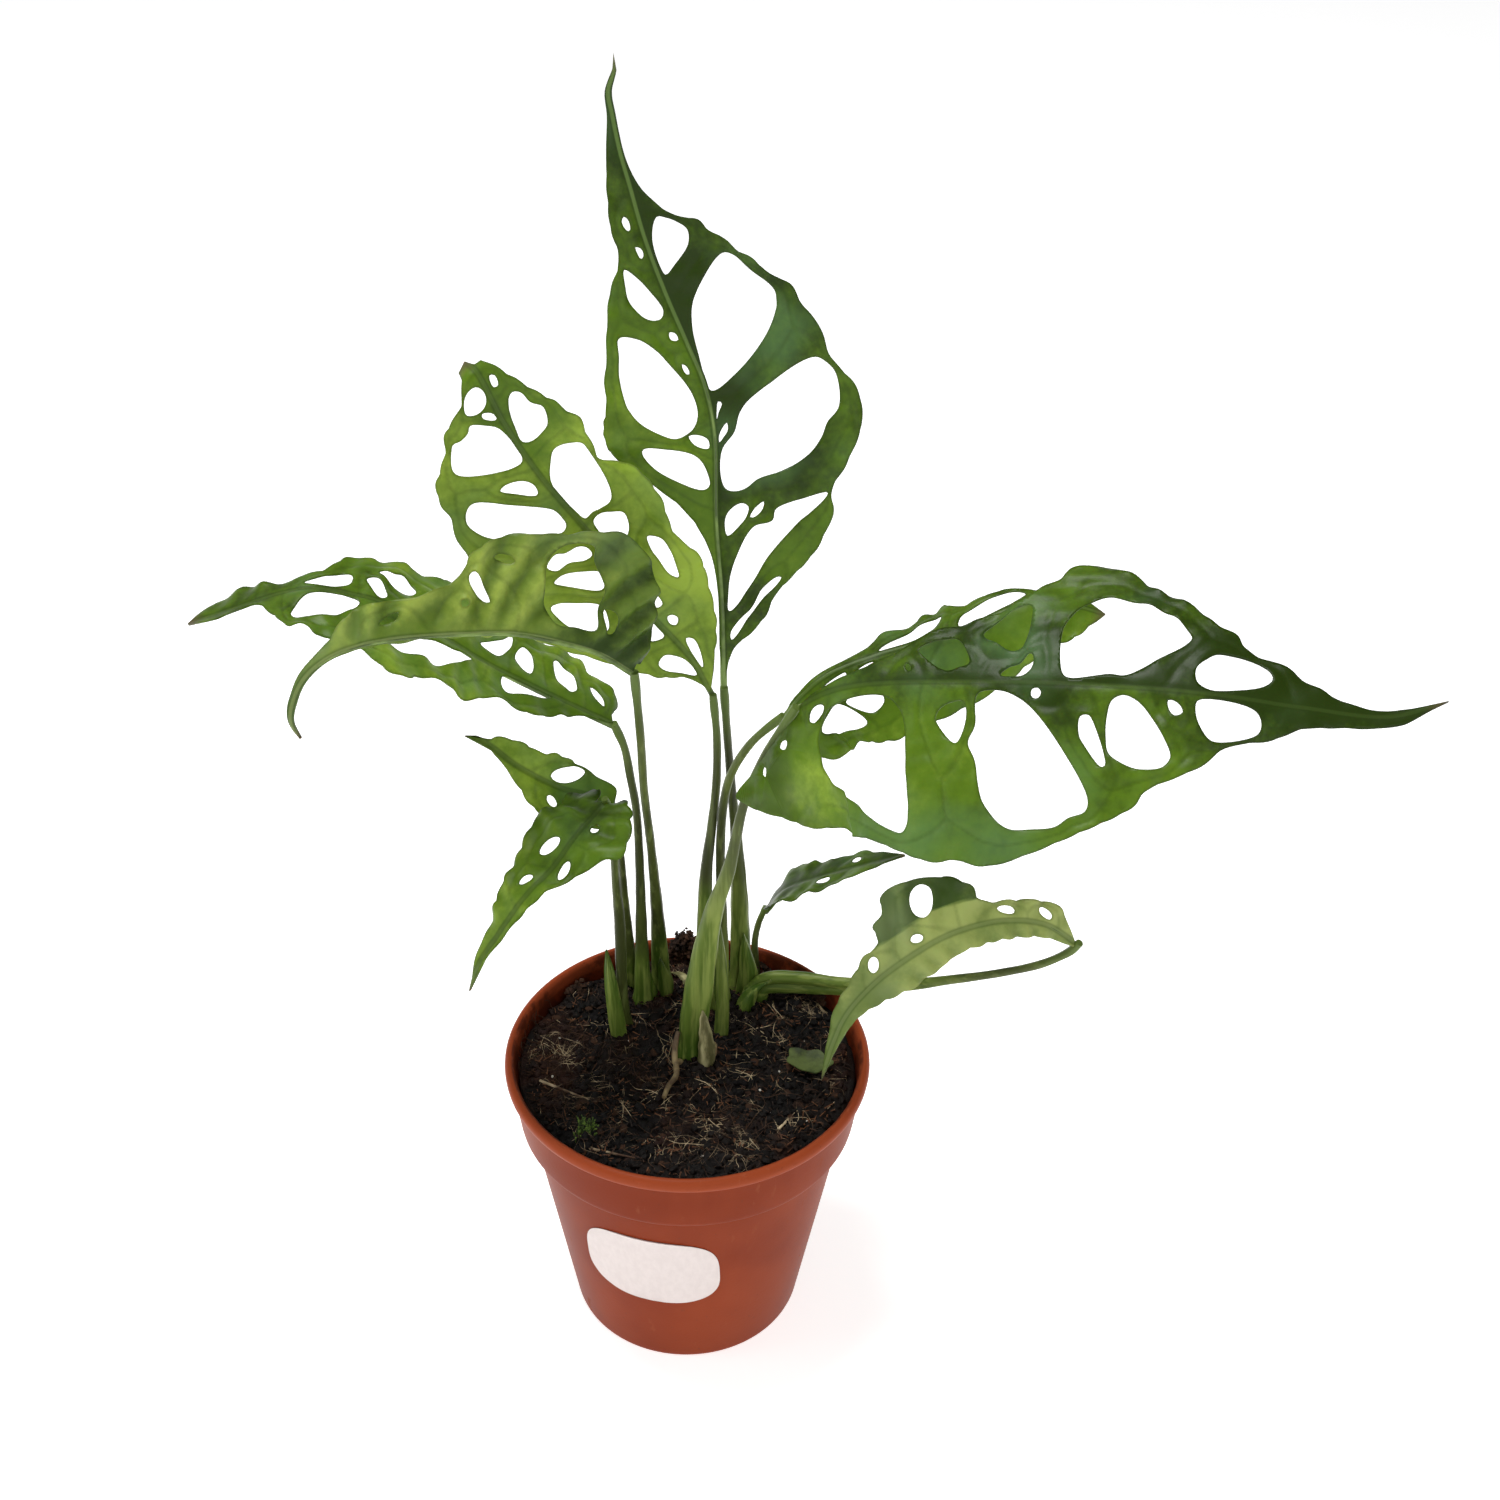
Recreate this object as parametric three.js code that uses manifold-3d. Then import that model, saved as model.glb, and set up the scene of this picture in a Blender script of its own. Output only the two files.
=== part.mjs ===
// Potted monstera obliqua: a ten-leaf plant in a round nursery pot. Millimetres, +Z up.
// The pot stands on z = 0 with its centre at the origin, and the front faces -Y.
import * as THREE from "three";
import Module from "manifold-3d";

const wasm = await Module();
wasm.setup();

// Pot
const POT_HEIGHT = 105;
const RIM_RADIUS = 60;
const BASE_RADIUS = 39.2;
const WALL = 1.5;
const COLLAR_DROP = 23;
const DRAIN_HOLES = 6;
const DRAIN_RADIUS = 4;
const DRAIN_CIRCLE = 26;
// Soil
const SOIL_TOP = 100;
const SOIL_GAP = 0.3;
const STEM_DEPTH = 8;
const STEM_CLEARANCE = 0.35;
// Leaves
const BLADE_THICKNESS = 0.8;
const RIB_MARGIN = 1.2;
const BUTT_GAP = 0.5;
const RIB_STEP = 4;
const MESH_STEP = 26;

const group = new THREE.Group();
group.name = "potted_monstera_obliqua";

const materials = {
  terracotta: new THREE.MeshStandardMaterial({ color: 0xb5573a, roughness: 0.45 }),
  peat: new THREE.MeshStandardMaterial({ color: 0x24170f, roughness: 1 }),
  paper: new THREE.MeshStandardMaterial({ color: 0xeae6de, roughness: 0.6 }),
  leaf: new THREE.MeshStandardMaterial({ color: 0x4f7a2a, roughness: 0.45 }),
  petiole: new THREE.MeshStandardMaterial({ color: 0x5a6a36, roughness: 0.5 }),
  bark: new THREE.MeshStandardMaterial({ color: 0x6b4a2c, roughness: 0.9 }),
};

function addNode(name, geometry, material) {
  const mesh = new THREE.Mesh(geometry, materials[material]);
  mesh.name = name;
  group.add(mesh);
}

function makeGeometry(points, faces) {
  const geometry = new THREE.BufferGeometry();
  const numbers = points.flatMap((p) => [p.x, p.y, p.z]);
  geometry.setAttribute("position", new THREE.Float32BufferAttribute(numbers, 3));
  geometry.setIndex(faces.flat());
  return geometry;
}

// Value between the entries of a list, for t from 0 to 1
function along(list, t) {
  const s = Math.min(Math.max(t, 0), 1) * (list.length - 1);
  const i = Math.min(Math.floor(s), list.length - 2);
  return list[i] + (list[i + 1] - list[i]) * (s - i);
}

// Closed tube through the points, its radius going through the listed values
function tube(points, radii, rings, sides) {
  const knots = points.map((p) => new THREE.Vector3(...p));
  const path = new THREE.CatmullRomCurve3(knots, false, "centripetal");
  const frames = path.computeFrenetFrames(rings, false);
  const verts = [];
  const faces = [];
  for (let i = 0; i <= rings; i++) {
    const centre = path.getPointAt(i / rings);
    for (let j = 0; j < sides; j++) {
      const a = (j / sides) * 2 * Math.PI;
      const r = along(radii, i / rings);
      const p = centre.clone().addScaledVector(frames.normals[i], r * Math.cos(a));
      verts.push(p.addScaledVector(frames.binormals[i], r * Math.sin(a)));
    }
  }
  for (let i = 0; i < rings; i++) {
    for (let j = 0; j < sides; j++) {
      const a = i * sides + j;
      const b = i * sides + ((j + 1) % sides);
      faces.push([a, b, b + sides], [a, b + sides, a + sides]);
    }
  }
  const last = rings * sides;
  for (let j = 1; j < sides - 1; j++) {
    faces.push([0, j + 1, j], [last, last + j, last + j + 1]);
  }
  return makeGeometry(verts, faces);
}

// Swaps the shared edges of flat triangles until none of them is needlessly long and thin
function evenOut(points, faces) {
  const corner = (a, b, c) => {
    const [p, q, r] = [a, b, c].map((i) => points[i]);
    const [x0, y0, x1, y1] = [p.x - r.x, p.y - r.y, q.x - r.x, q.y - r.y];
    return Math.atan2(x0 * y1 - x1 * y0, x0 * x1 + y0 * y1);
  };
  for (let pass = 0; pass < 60; pass++) {
    const owner = new Map();
    faces.forEach((f, i) => f.forEach((a, j) => owner.set(a + "_" + f[(j + 1) % 3], [i, f[(j + 2) % 3]])));
    const changed = new Set();
    for (const [key, [i, c]] of owner) {
      const [a, b] = key.split("_").map(Number);
      const [k, d] = owner.get(b + "_" + a) ?? [-1];
      if (k < 0 || changed.has(i) || changed.has(k)) continue;
      const bulges = corner(a, b, c) + corner(b, a, d) > Math.PI + 1e-6;
      if (!bulges || corner(d, c, a) < 1e-3 || corner(c, d, b) < 1e-3) continue;
      faces[i] = [a, d, c];
      faces[k] = [d, b, c];
      changed.add(i).add(k);
    }
    if (changed.size === 0) break;
  }
  return faces;
}

// Splits triangles of a flat mesh until no edge is longer than the step
function refine(points, faces, step) {
  let list = faces;
  for (let pass = 0; pass < 8; pass++) {
    const middles = new Map();
    const middle = (a, b) => {
      const key = a < b ? a + "_" + b : b + "_" + a;
      if (!middles.has(key)) {
        const [p, q] = [points[a], points[b]];
        const long = Math.hypot(p[0] - q[0], p[1] - q[1]) > step;
        middles.set(key, long ? points.push([(p[0] + q[0]) / 2, (p[1] + q[1]) / 2]) - 1 : -1);
      }
      return middles.get(key);
    };
    const size = list.length;
    list = list.flatMap(([a, b, c]) => {
      const m = [middle(a, b), middle(b, c), middle(c, a)];
      const cut = m.filter((v) => v >= 0).length;
      if (cut === 0) return [[a, b, c]];
      if (cut === 3) return [[a, m[0], m[2]], [m[0], b, m[1]], [m[2], m[1], c], [m[0], m[1], m[2]]];
      const k = cut === 1 ? m.findIndex((v) => v >= 0) : (m.findIndex((v) => v < 0) + 1) % 3;
      const [p, q, r] = [[a, b, c], [b, c, a], [c, a, b]][k];
      const [u, v] = [m[k], m[(k + 1) % 3]];
      if (cut === 1) return [[p, u, r], [u, q, r]];
      return [[u, q, v], [p, u, v], [p, v, r]];
    });
    if (list.length === size) break;
  }
  return list;
}

// Closed sheet of even thickness: the flat triangles, set on a surface by place(u, v)
function sheet(points, faces, place, thickness) {
  const n = points.length;
  const spots = points.map(([u, v]) => place(u, v));
  const top = spots.map((s) => s.point.clone().addScaledVector(s.normal, thickness / 2));
  const under = spots.map((s) => s.point.clone().addScaledVector(s.normal, -thickness / 2));
  const edges = new Set(faces.flatMap(([a, b, c]) => [a + "_" + b, b + "_" + c, c + "_" + a]));
  const all = [];
  faces.forEach(([a, b, c]) => all.push([a, b, c], [a + n, c + n, b + n]));
  edges.forEach((key) => {
    const [a, b] = key.split("_").map(Number);
    if (!edges.has(b + "_" + a)) all.push([a, a + n, b + n], [a, b + n, b]);
  });
  return makeGeometry([...top, ...under], all);
}

// Outline of an oval hole: place along and across the midrib, length, width and turn in degrees
function oval(u, v, length, width, turn) {
  const count = length > 8 ? 8 : 6;
  const a = THREE.MathUtils.degToRad(turn);
  return Array.from({ length: count }, (_, i) => {
    const t = (i / count) * 2 * Math.PI;
    const x = (length / 2) * Math.cos(t);
    const y = (width / 2) * Math.sin(t);
    return [u + x * Math.cos(a) - y * Math.sin(a), v + x * Math.sin(a) + y * Math.cos(a)];
  });
}

// Surface of a blade: u runs along the midrib and v across it, right of the tip when positive
function bladeSurface({ rib, face, fold, bend, wave = 0.5 }) {
  const knots = rib.map((p) => new THREE.Vector3(...p));
  const curve = new THREE.CatmullRomCurve3(knots, false, "centripetal");
  curve.arcLengthDivisions = 400;
  const length = curve.getLength();
  const place = (u, v) => {
    const t = Math.min(Math.max(u / length, 0), 1);
    const ahead = curve.getTangentAt(t);
    const point = curve.getPointAt(t).addScaledVector(ahead, u - t * length);
    const up = new THREE.Vector3(...[0, 1, 2].map((k) => along(face.map((f) => f[k]), t)));
    up.addScaledVector(ahead, -up.dot(ahead)).normalize();
    const out = new THREE.Vector3().crossVectors(ahead, up);
    const half = (sign) => {
      const k = sign > 0 ? 1 : 0;
      const start = THREE.MathUtils.degToRad(along(fold[k], t));
      const rate = THREE.MathUtils.degToRad(along(bend[k], t)) / 10 || 1e-6;
      const turn = start + rate * Math.abs(v);
      const normal = up.clone().multiplyScalar(Math.cos(turn)).addScaledVector(out, -sign * Math.sin(turn));
      return { start, rate, turn, normal };
    };
    if (v === 0) return { point, normal: half(1).normal.add(half(-1).normal).normalize() };
    const h = half(Math.sign(v));
    point.addScaledVector(out, (Math.sign(v) * (Math.sin(h.turn) - Math.sin(h.start))) / h.rate);
    point.addScaledVector(up, (Math.cos(h.start) - Math.cos(h.turn)) / h.rate);
    point.addScaledVector(h.normal, wave * Math.min(Math.abs(v) / 12, 1.5) * Math.sin(u / 4.5 + v));
    return { point, normal: h.normal };
  };
  return { place, length, tangent: curve.getTangentAt(0) };
}

// Leaf blade with its cut edges and holes; left and right give the margin from base to tip
function blade(leaf) {
  const { place, length } = bladeSurface(leaf);
  const points = [];
  const faces = [];
  const steps = Math.round(length / RIB_STEP);
  const spine = Array.from({ length: steps + 1 }, (_, i) => new THREE.Vector2((i / steps) * length, 0));
  // The midrib is bowed into each half while it is cut into triangles, so that all its points stay
  const bowed = (p) => {
    const t = Math.min(Math.max(p.x / length, 0), 1);
    return new THREE.Vector2(p.x, Math.abs(p.y) + 0.1 * Math.sin(Math.PI * t));
  };
  const index = new Map();
  const add = (p) => {
    const key = p[0].toFixed(3) + "_" + p[1].toFixed(3);
    if (!index.has(key)) index.set(key, points.push(p) - 1);
    return index.get(key);
  };
  for (const sign of [-1, 1]) {
    const [edge, cuts] = sign < 0 ? [leaf.left, leaf.leftHoles] : [leaf.right, leaf.rightHoles];
    const across = ([u, v]) => new THREE.Vector2(u, sign * Math.max(v, RIB_MARGIN));
    const ring = [...spine.slice().reverse(), ...edge.map(across)];
    const holes = cuts.map((outline) => outline.map(across));
    const ids = [ring, ...holes].flat().map((p) => add([p.x, p.y]));
    const flat = [ring, ...holes].map((outline) => outline.map(bowed));
    const spots = flat.flat();
    const cut = THREE.ShapeUtils.triangulateShape(flat[0], flat.slice(1)).map(([a, b, c]) => {
      const area = spots[b].clone().sub(spots[a]).cross(spots[c].clone().sub(spots[a]));
      return area > 0 ? [a, b, c] : [a, c, b];
    });
    evenOut(spots, cut).forEach(([a, b, c]) => {
      faces.push(sign > 0 ? [ids[a], ids[c], ids[b]] : [ids[a], ids[b], ids[c]]);
    });
  }
  return sheet(points, refine(points, faces, MESH_STEP), place, BLADE_THICKNESS);
}

// Joining and cutting of closed bodies
function toSolid(geometry) {
  const position = geometry.getAttribute("position");
  const mesh = new wasm.Mesh({
    numProp: 3,
    vertProperties: new Float32Array(position.array),
    triVerts: new Uint32Array(geometry.getIndex().array),
  });
  mesh.merge();
  return new wasm.Manifold(mesh);
}

function fromSolid(solid) {
  const mesh = solid.getMesh();
  const geometry = new THREE.BufferGeometry();
  geometry.setAttribute("position", new THREE.BufferAttribute(mesh.vertProperties, 3));
  geometry.setIndex(new THREE.BufferAttribute(mesh.triVerts, 1));
  return geometry;
}

function turnedBody(profile, segments) {
  const lathe = new THREE.LatheGeometry(profile.map((p) => new THREE.Vector2(...p)), segments);
  lathe.rotateX(Math.PI / 2);
  return toSolid(lathe);
}

function pin(x, y, radius, bottom, top) {
  const body = new THREE.CylinderGeometry(radius, radius, top - bottom, 12);
  body.rotateX(Math.PI / 2);
  body.translate(x, y, (top + bottom) / 2);
  return toSolid(body);
}

// Nursery pot: tapered body, straight collar, rolled rim and drain holes in the floor
const collarZ = POT_HEIGHT - COLLAR_DROP;
const potProfile = [
  [0, 0],
  [BASE_RADIUS - 2, 0],
  [BASE_RADIUS, 2],
  [52.5, collarZ - 1],
  [55.8, collarZ],
  [58, POT_HEIGHT - 5],
  [RIM_RADIUS - 0.6, POT_HEIGHT - 4.4],
  [RIM_RADIUS, POT_HEIGHT - 2.4],
  [RIM_RADIUS - 0.6, POT_HEIGHT - 0.4],
  [RIM_RADIUS - 1.8, POT_HEIGHT],
  [RIM_RADIUS - 3.2, POT_HEIGHT - 0.8],
  [56.4, POT_HEIGHT - 5],
  [54.3, collarZ + 1],
  [51, collarZ - 1],
  [BASE_RADIUS - WALL, 2.8],
  [BASE_RADIUS - WALL - 1.5, WALL],
  [0, WALL],
];
const drains = Array.from({ length: DRAIN_HOLES }, (_, i) => {
  const a = (i / DRAIN_HOLES) * 2 * Math.PI;
  return pin(DRAIN_CIRCLE * Math.cos(a), DRAIN_CIRCLE * Math.sin(a), DRAIN_RADIUS, -1, 4);
});
const potBody = turnedBody(potProfile, 48).subtract(wasm.Manifold.union(drains));
addNode("pot", fromSolid(potBody), "terracotta");

// Blank adhesive label on the front of the body
const LABEL = { angle: -103, height: 51, wide: 46, high: 34 };
const labelRadius = (z) => BASE_RADIUS + ((52.5 - BASE_RADIUS) * (z - 2)) / (collarZ - 3);
const labelRing = Array.from({ length: 20 }, (_, i) => {
  const t = (i / 20) * 2 * Math.PI;
  const round = (c) => Math.sign(c) * Math.abs(c) ** 0.62;
  return new THREE.Vector2((LABEL.wide / 2) * round(Math.cos(t)), (LABEL.high / 2) * round(Math.sin(t)));
});
const labelPoints = labelRing.map((p) => [p.x, p.y]);
const labelFaces = refine(labelPoints, THREE.ShapeUtils.triangulateShape(labelRing, []), 9);
const onPot = (u, v) => {
  const z = LABEL.height + v;
  const r = labelRadius(z) + 0.6;
  const a = THREE.MathUtils.degToRad(LABEL.angle) + u / r;
  const normal = new THREE.Vector3(Math.cos(a), Math.sin(a), -0.16).normalize();
  return { point: new THREE.Vector3(r * Math.cos(a), r * Math.sin(a), z), normal };
};
addNode("pot_label", sheet(labelPoints, labelFaces, onPot, 0.5), "paper");

// Leaves. rib: midrib from base to tip; face: way the upper side looks at base, middle and tip;
// fold and bend: angle and curl of the left and right half; left and right: margin from base to
// tip, as distance along and across the midrib; leftHoles and rightHoles: outlines of the holes.
const leaves = {
  leaf_a: {
    rib: [
      [10, 26, 229], [9, 28, 259], [7, 31, 284], [6, 36, 310], [3, 39, 323], [-2, 42, 334],
      [-8, 45, 347], [-14, 48, 362], [-18, 51, 375], [-21, 53, 385], [-23, 55, 394],
      [-24, 55, 400], [-22, 53, 407], [-22, 51, 411],
    ],
    face: [[0.12, -0.9, 0.42], [0.1, -0.93, 0.35], [0.05, -0.9, 0.42]],
    fold: [[14, 14, 10], [14, 14, 10]],
    bend: [[-3, -2, 0], [-4, -3, 0]],
    left: [
      [14, 1.2], [38.5, 1.5], [48.5, 3.5], [58, 8.5], [77, 29.5], [85, 32], [95.5, 31],
      [104.5, 28], [130.5, 14], [134.5, 10], [137.5, 8.5], [146, 8.5], [175, 1.2], [186.5, 1.2],
    ],
    right: [
      [9.5, 1.5], [14.5, 3.5], [23, 11.5], [33, 17], [39.5, 24.5], [47.5, 30.5], [58, 34.5],
      [63.5, 33.5], [67, 34.5], [81, 42.5], [84.5, 43], [87.5, 42], [94, 36.5], [97.5, 36.5],
      [106, 34], [111.5, 33.5], [117, 29], [123, 26.5], [127.5, 23], [132, 21], [135, 18],
      [140, 15.5], [143, 10], [149.5, 4.5], [153.5, 2.5], [160, 1.2], [186, 1.2],
    ],
    leftHoles: [
      [[146.5, 4], [145, 3], [142.5, 3.5], [143, 4.5], [145.5, 5]],
      [[138, 3.5], [137, 2], [135, 2], [134.5, 3], [136.5, 3.5]],
      [
        [133.5, 8.5], [131, 6.5], [119.5, 2.5], [117.5, 4], [118, 6.5], [120.5, 9], [126, 10.5],
      ],
      [[113, 3.5], [112, 2], [110, 2], [111, 4]],
      [
        [117.5, 17.5], [115, 12.5], [110.5, 9.5], [105.5, 7.5], [93, 4], [88, 4], [84.5, 5.5],
        [82.5, 7.5], [81.5, 11.5], [84, 16], [89.5, 21], [97, 23.5], [104, 23], [112.5, 20],
      ],
      [[103.5, 4], [102.5, 3], [100, 3], [100.5, 4]],
      [[81.5, 7.5], [81.5, 5], [79.5, 2], [77, 2], [77.5, 4.5], [79, 6.5]],
      [
        [79.5, 21.5], [78.5, 15], [76, 7.5], [73.5, 4.5], [69.5, 2.5], [66, 2], [65, 4],
        [69.5, 14.5], [73, 19], [77, 21.5],
      ],
    ],
    rightHoles: [
      [
        [144, 5], [143, 7.5], [141.5, 9.5], [138, 12], [134, 11], [129.5, 5], [128, 2],
        [129.5, 1.5], [138.5, 2],
      ],
      [
        [128, 19], [126.5, 21.5], [119.5, 25], [112, 28.5], [109.5, 28], [105, 25.5],
        [101.5, 21.5], [96, 9.5], [93.5, 1.2], [105.5, 2], [112.5, 3.5], [119, 7],
      ],
      [[90, 2.5], [89.5, 3.5], [87, 2], [85, 1.2]],
      [[84, 4], [82, 4], [80, 2.5], [78.5, 1.2], [81, 1.5]],
      [
        [94.5, 32.5], [93, 35], [90.5, 37], [84.5, 36.5], [81.5, 32.5], [78.5, 30.5], [72.5, 23],
        [68.5, 12.5], [65.5, 9], [64.5, 6], [65, 3], [68.5, 1.5], [76.5, 2], [81.5, 6], [86, 8],
        [89, 11.5], [94, 26.5],
      ],
      [[50.5, 3], [55, 2.5], [58.5, 4], [61, 7.5], [60, 9.5], [57, 9], [54, 7]],
      [[56.5, 10], [59.5, 11.5], [61.5, 14], [59, 13.5], [56.5, 11]],
      [
        [26.5, 2], [32, 2], [38, 3], [44.5, 5.5], [53.5, 11], [55.5, 16.5], [59, 17.5],
        [61.5, 22.5], [64.5, 32.5], [61, 30.5], [46.5, 17],
      ],
      [[17, 2.5], [20, 2.5], [29, 9.5], [34, 12.5], [37, 16.5], [37, 18], [28, 10]],
    ],
  },
  leaf_b: {
    rib: [
      [6, 22, 230], [0, 22, 242], [-15, 20, 262], [-29, 17, 286], [-41, 14, 304], [-51, 12, 322],
      [-58, 14, 336], [-62, 19, 337],
    ],
    face: [[-0.1, -0.85, 0.5], [-0.1, -0.85, 0.5], [-0.2, -0.8, 0.5]],
    fold: [[10, 8, 8], [10, 10, 8]],
    bend: [[-2, -2, -2], [-2, -2, -2]],
    left: [
      [4, 1.2], [7.5, 3.5], [13, 9], [33.5, 20], [42, 26.5], [50, 31], [62.5, 32], [75, 31.5],
      [89, 29.5], [94.5, 27.5], [100, 27], [103.5, 25.5], [110, 18], [113, 16], [119, 8],
      [130, 3.5],
    ],
    right: [
      [12, 7.5], [20.5, 14.5], [35, 21.5], [43.5, 23], [55.5, 21], [64, 23], [74.5, 23],
      [79, 21.5], [85, 17], [90, 17.4], [100, 19], [103.5, 18], [116, 11.5], [127.5, 2],
    ],
    leftHoles: [
      [
        [119, 7], [121, 5], [121.5, 2.5], [120, 1.2], [117.5, 1.2], [115.5, 2.5], [114.5, 5],
        [115.5, 8],
      ],
      [[114, 4], [113, 1.5], [111, 1.2], [111, 2], [113, 4.5]],
      [
        [110, 15.5], [110, 13], [111, 10], [112.5, 8.5], [111, 5], [108.5, 2], [97, 1.5],
        [96.5, 4.5], [100, 14.5], [102.5, 18.5], [105, 19],
      ],
      [[93.5, 11.5], [94, 10], [93, 6], [90.5, 3.5], [88, 3], [86, 4]],
      [
        [93.5, 22.5], [94.5, 19.5], [88.5, 12], [80, 3.5], [76, 3], [73.5, 3.5], [72.5, 5.5],
        [80.5, 15], [82.5, 20], [87, 23.5], [91, 24.5],
      ],
      [
        [66, 15.5], [67.5, 11.5], [66, 9], [65.5, 5], [63.5, 3], [60.5, 3], [60.5, 5.5],
        [62.5, 9.5], [63, 14],
      ],
      [
        [60.5, 16.5], [60.5, 12.5], [56.5, 6], [54, 4], [49.5, 6], [53.5, 11.5], [57, 15],
      ],
      [
        [54, 21.5], [53.5, 19], [50.5, 15], [45, 9.5], [41.5, 10], [38.5, 12.5], [43, 18.5],
        [48, 21.5],
      ],
      [[34.5, 1.5], [28, 1.2], [25, 1.5], [25.5, 3.5], [27.5, 5.5]],
      [[20, 8.5], [20.5, 5.5], [17.5, 3], [14, 1.5], [7.5, 1.2], [15, 7.5]],
    ],
    rightHoles: [
      [[122.5, 2.5], [122, 4], [119.5, 3.5], [119.5, 2]],
      [
        [115, 4.5], [116.5, 6.5], [115.5, 8.5], [112, 9.5], [109, 12], [106.5, 12], [103, 10],
        [101.5, 7], [101, 3.5], [102, 1.5], [106, 2],
      ],
      [
        [92.5, 5], [95, 7.5], [95.5, 11], [93.5, 15], [90, 15.6], [81.5, 15], [72, 11.5],
        [71.5, 7.5], [72, 5], [71.5, 2], [75, 1.2], [86, 1.2],
      ],
      [
        [69.5, 3.5], [70.5, 6], [69, 9.5], [67, 12], [64, 11.5], [61, 9.5], [59, 6.5], [60, 5],
        [63, 5.5], [64, 3.5], [65, 3],
      ],
      [[57, 13.5], [56, 15.5], [54, 17], [50, 17], [39, 14], [41.5, 13], [52, 12.5]],
      [[41.5, 3.5], [41, 5], [34, 5], [34, 3], [36.5, 2.5]],
      [[29.5, 3.5], [29, 5], [27, 5.5], [25.5, 3.5], [27, 2.5]],
      [[20, 3], [18.5, 4.5], [15, 4], [9, 1.5], [16, 1.5]],
    ],
  },
  leaf_c: {
    rib: [
      [-23, 12, 225], [-38, 9, 235], [-59, 6, 249], [-71, 4, 259], [-85, 2, 270], [-96, 1, 274],
      [-105, 0, 276], [-114, -1, 275], [-122, -3, 273], [-141, -6, 267],
    ],
    face: [[0, -0.15, 0.98], [0, -0.1, 1], [0.1, -0.1, 1]],
    fold: [[-6, 0, 4], [4, 4, -6]],
    bend: [[-2, -2, -2], [-2, -2, -2]],
    left: [
      [4, 1.2], [11, 3], [27, 12], [34, 13.5], [37.5, 12.5], [41, 14], [51, 21], [54, 19.5],
      [59, 20], [64, 22], [69, 27], [79, 26], [95, 21], [97.5, 21], [101, 17], [106.5, 16.5],
      [110.5, 12], [115.5, 3], [120, 2], [124.5, 3.5], [130, 3.5],
    ],
    right: [
      [0.5, 3], [-1.5, 8], [2.5, 16], [8.5, 17], [14.5, 22.5], [26.5, 21.5], [40.5, 17],
      [49.5, 22], [54, 26], [64.5, 23.5], [72.5, 20.5], [75.5, 21.5], [82, 19], [85, 19.5],
      [91.5, 17], [95.5, 11], [98.5, 8.5], [108, 5], [119, 9.5], [123.5, 8.5], [132, 4],
    ],
    leftHoles: [
      [
        [105, 11], [101, 3.5], [97, 2], [92.5, 2], [86, 3], [87, 7], [94.5, 13], [101.5, 12.5],
      ],
      [
        [78, 17.5], [70, 9.5], [65, 6.5], [59.5, 4.5], [49, 2.5], [52, 6.5], [59, 13], [65, 15],
      ],
      [[38, 2.5], [36.5, 1.5], [21.5, 1.2], [31, 6], [36, 7.5], [38, 5]],
    ],
    rightHoles: [
      [
        [102, 2.5], [98.5, 4.5], [95, 7.5], [91, 9.5], [89, 7.5], [89.5, 3.5], [93, 1.5],
        [97, 1.5],
      ],
      [[85, 7.5], [82.5, 8.5], [80.5, 7], [78.5, 3], [79.5, 1.5], [81, 1.5], [83.5, 4]],
      [
        [82, 12.5], [80.5, 13.5], [78, 13.5], [75, 15], [72.5, 14.5], [70, 12], [71, 9.5], [76, 8],
        [79, 9],
      ],
      [
        [46.5, 6.5], [40, 12], [37, 16], [36.5, 12.5], [37.5, 9.5], [40.5, 5], [43.5, 4.5],
      ],
      [
        [34.5, 8.5], [34, 12], [32.5, 14], [29.5, 12.5], [28.5, 7.5], [29.5, 4], [31.5, 4.5],
      ],
      [[22.5, 12.5], [21, 14.5], [17, 14.5], [13, 7.5], [15.5, 4.5], [19, 6.5]],
      [[8, 11], [6, 10.5], [3.5, 4.5], [5, 5], [7.5, 8]],
    ],
  },
  leaf_d: {
    rib: [
      [-16, 0, 250], [-25, -6, 260], [-35, -12, 267], [-47, -18, 273], [-59, -22, 275],
      [-69, -26, 276.5], [-79, -31, 278], [-88, -35.5, 278], [-95.5, -39.5, 276],
      [-101, -43, 271.5], [-104, -45.5, 265], [-104.5, -46, 259.5], [-103, -44.5, 254],
    ],
    face: [[0, -0.75, 0.66], [0, -0.75, 0.66], [-0.5, -0.6, 0.6]],
    fold: [[-95, -95, -30], [12, 10, 4]],
    bend: [[0, 0, 0], [3, 3, 0]],
    left: [[1, 2], [12, 4], [50, 3.5], [80, 2], [92, 1.2], [121, 1.2]],
    right: [
      [0.8, 3], [-1, 3.5], [16.5, 32.5], [21, 34], [30.5, 31.5], [34.5, 29.5], [48, 26], [55, 21],
      [58, 15.5], [65.5, 12], [72, 10.5], [84, 10], [88, 8], [93, 4.5], [99, 2.4],
      [108, 1.4], [121, 1.2],
    ],
    leftHoles: [],
    rightHoles: [
      [[80, 4.5], [79, 5.5], [74.5, 7], [75.5, 5], [77.5, 4.5]],
      [[58, 9], [56.5, 9.5], [56, 8], [58, 7.5]],
      [[55.5, 13.5], [55.5, 16], [54, 17], [52.5, 15.5], [50, 8.5], [51, 8.5]],
      [[48.5, 20.5], [47.5, 21.5], [45, 21], [44.5, 19.5], [45.5, 19]],
      [
        [37.5, 21.5], [38, 17.5], [37, 12.5], [32.5, 5], [25, 5], [18.5, 6], [26, 27.5],
        [29.5, 28.5], [34.5, 26.5],
      ],
      [[17.5, 12], [15.5, 12.5], [13, 7], [15, 6]],
    ],
  },
  leaf_e: {
    rib: [
      [32, -12, 248], [40, -17, 256], [51, -22, 262], [85, -34, 271], [111, -41, 275],
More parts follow.
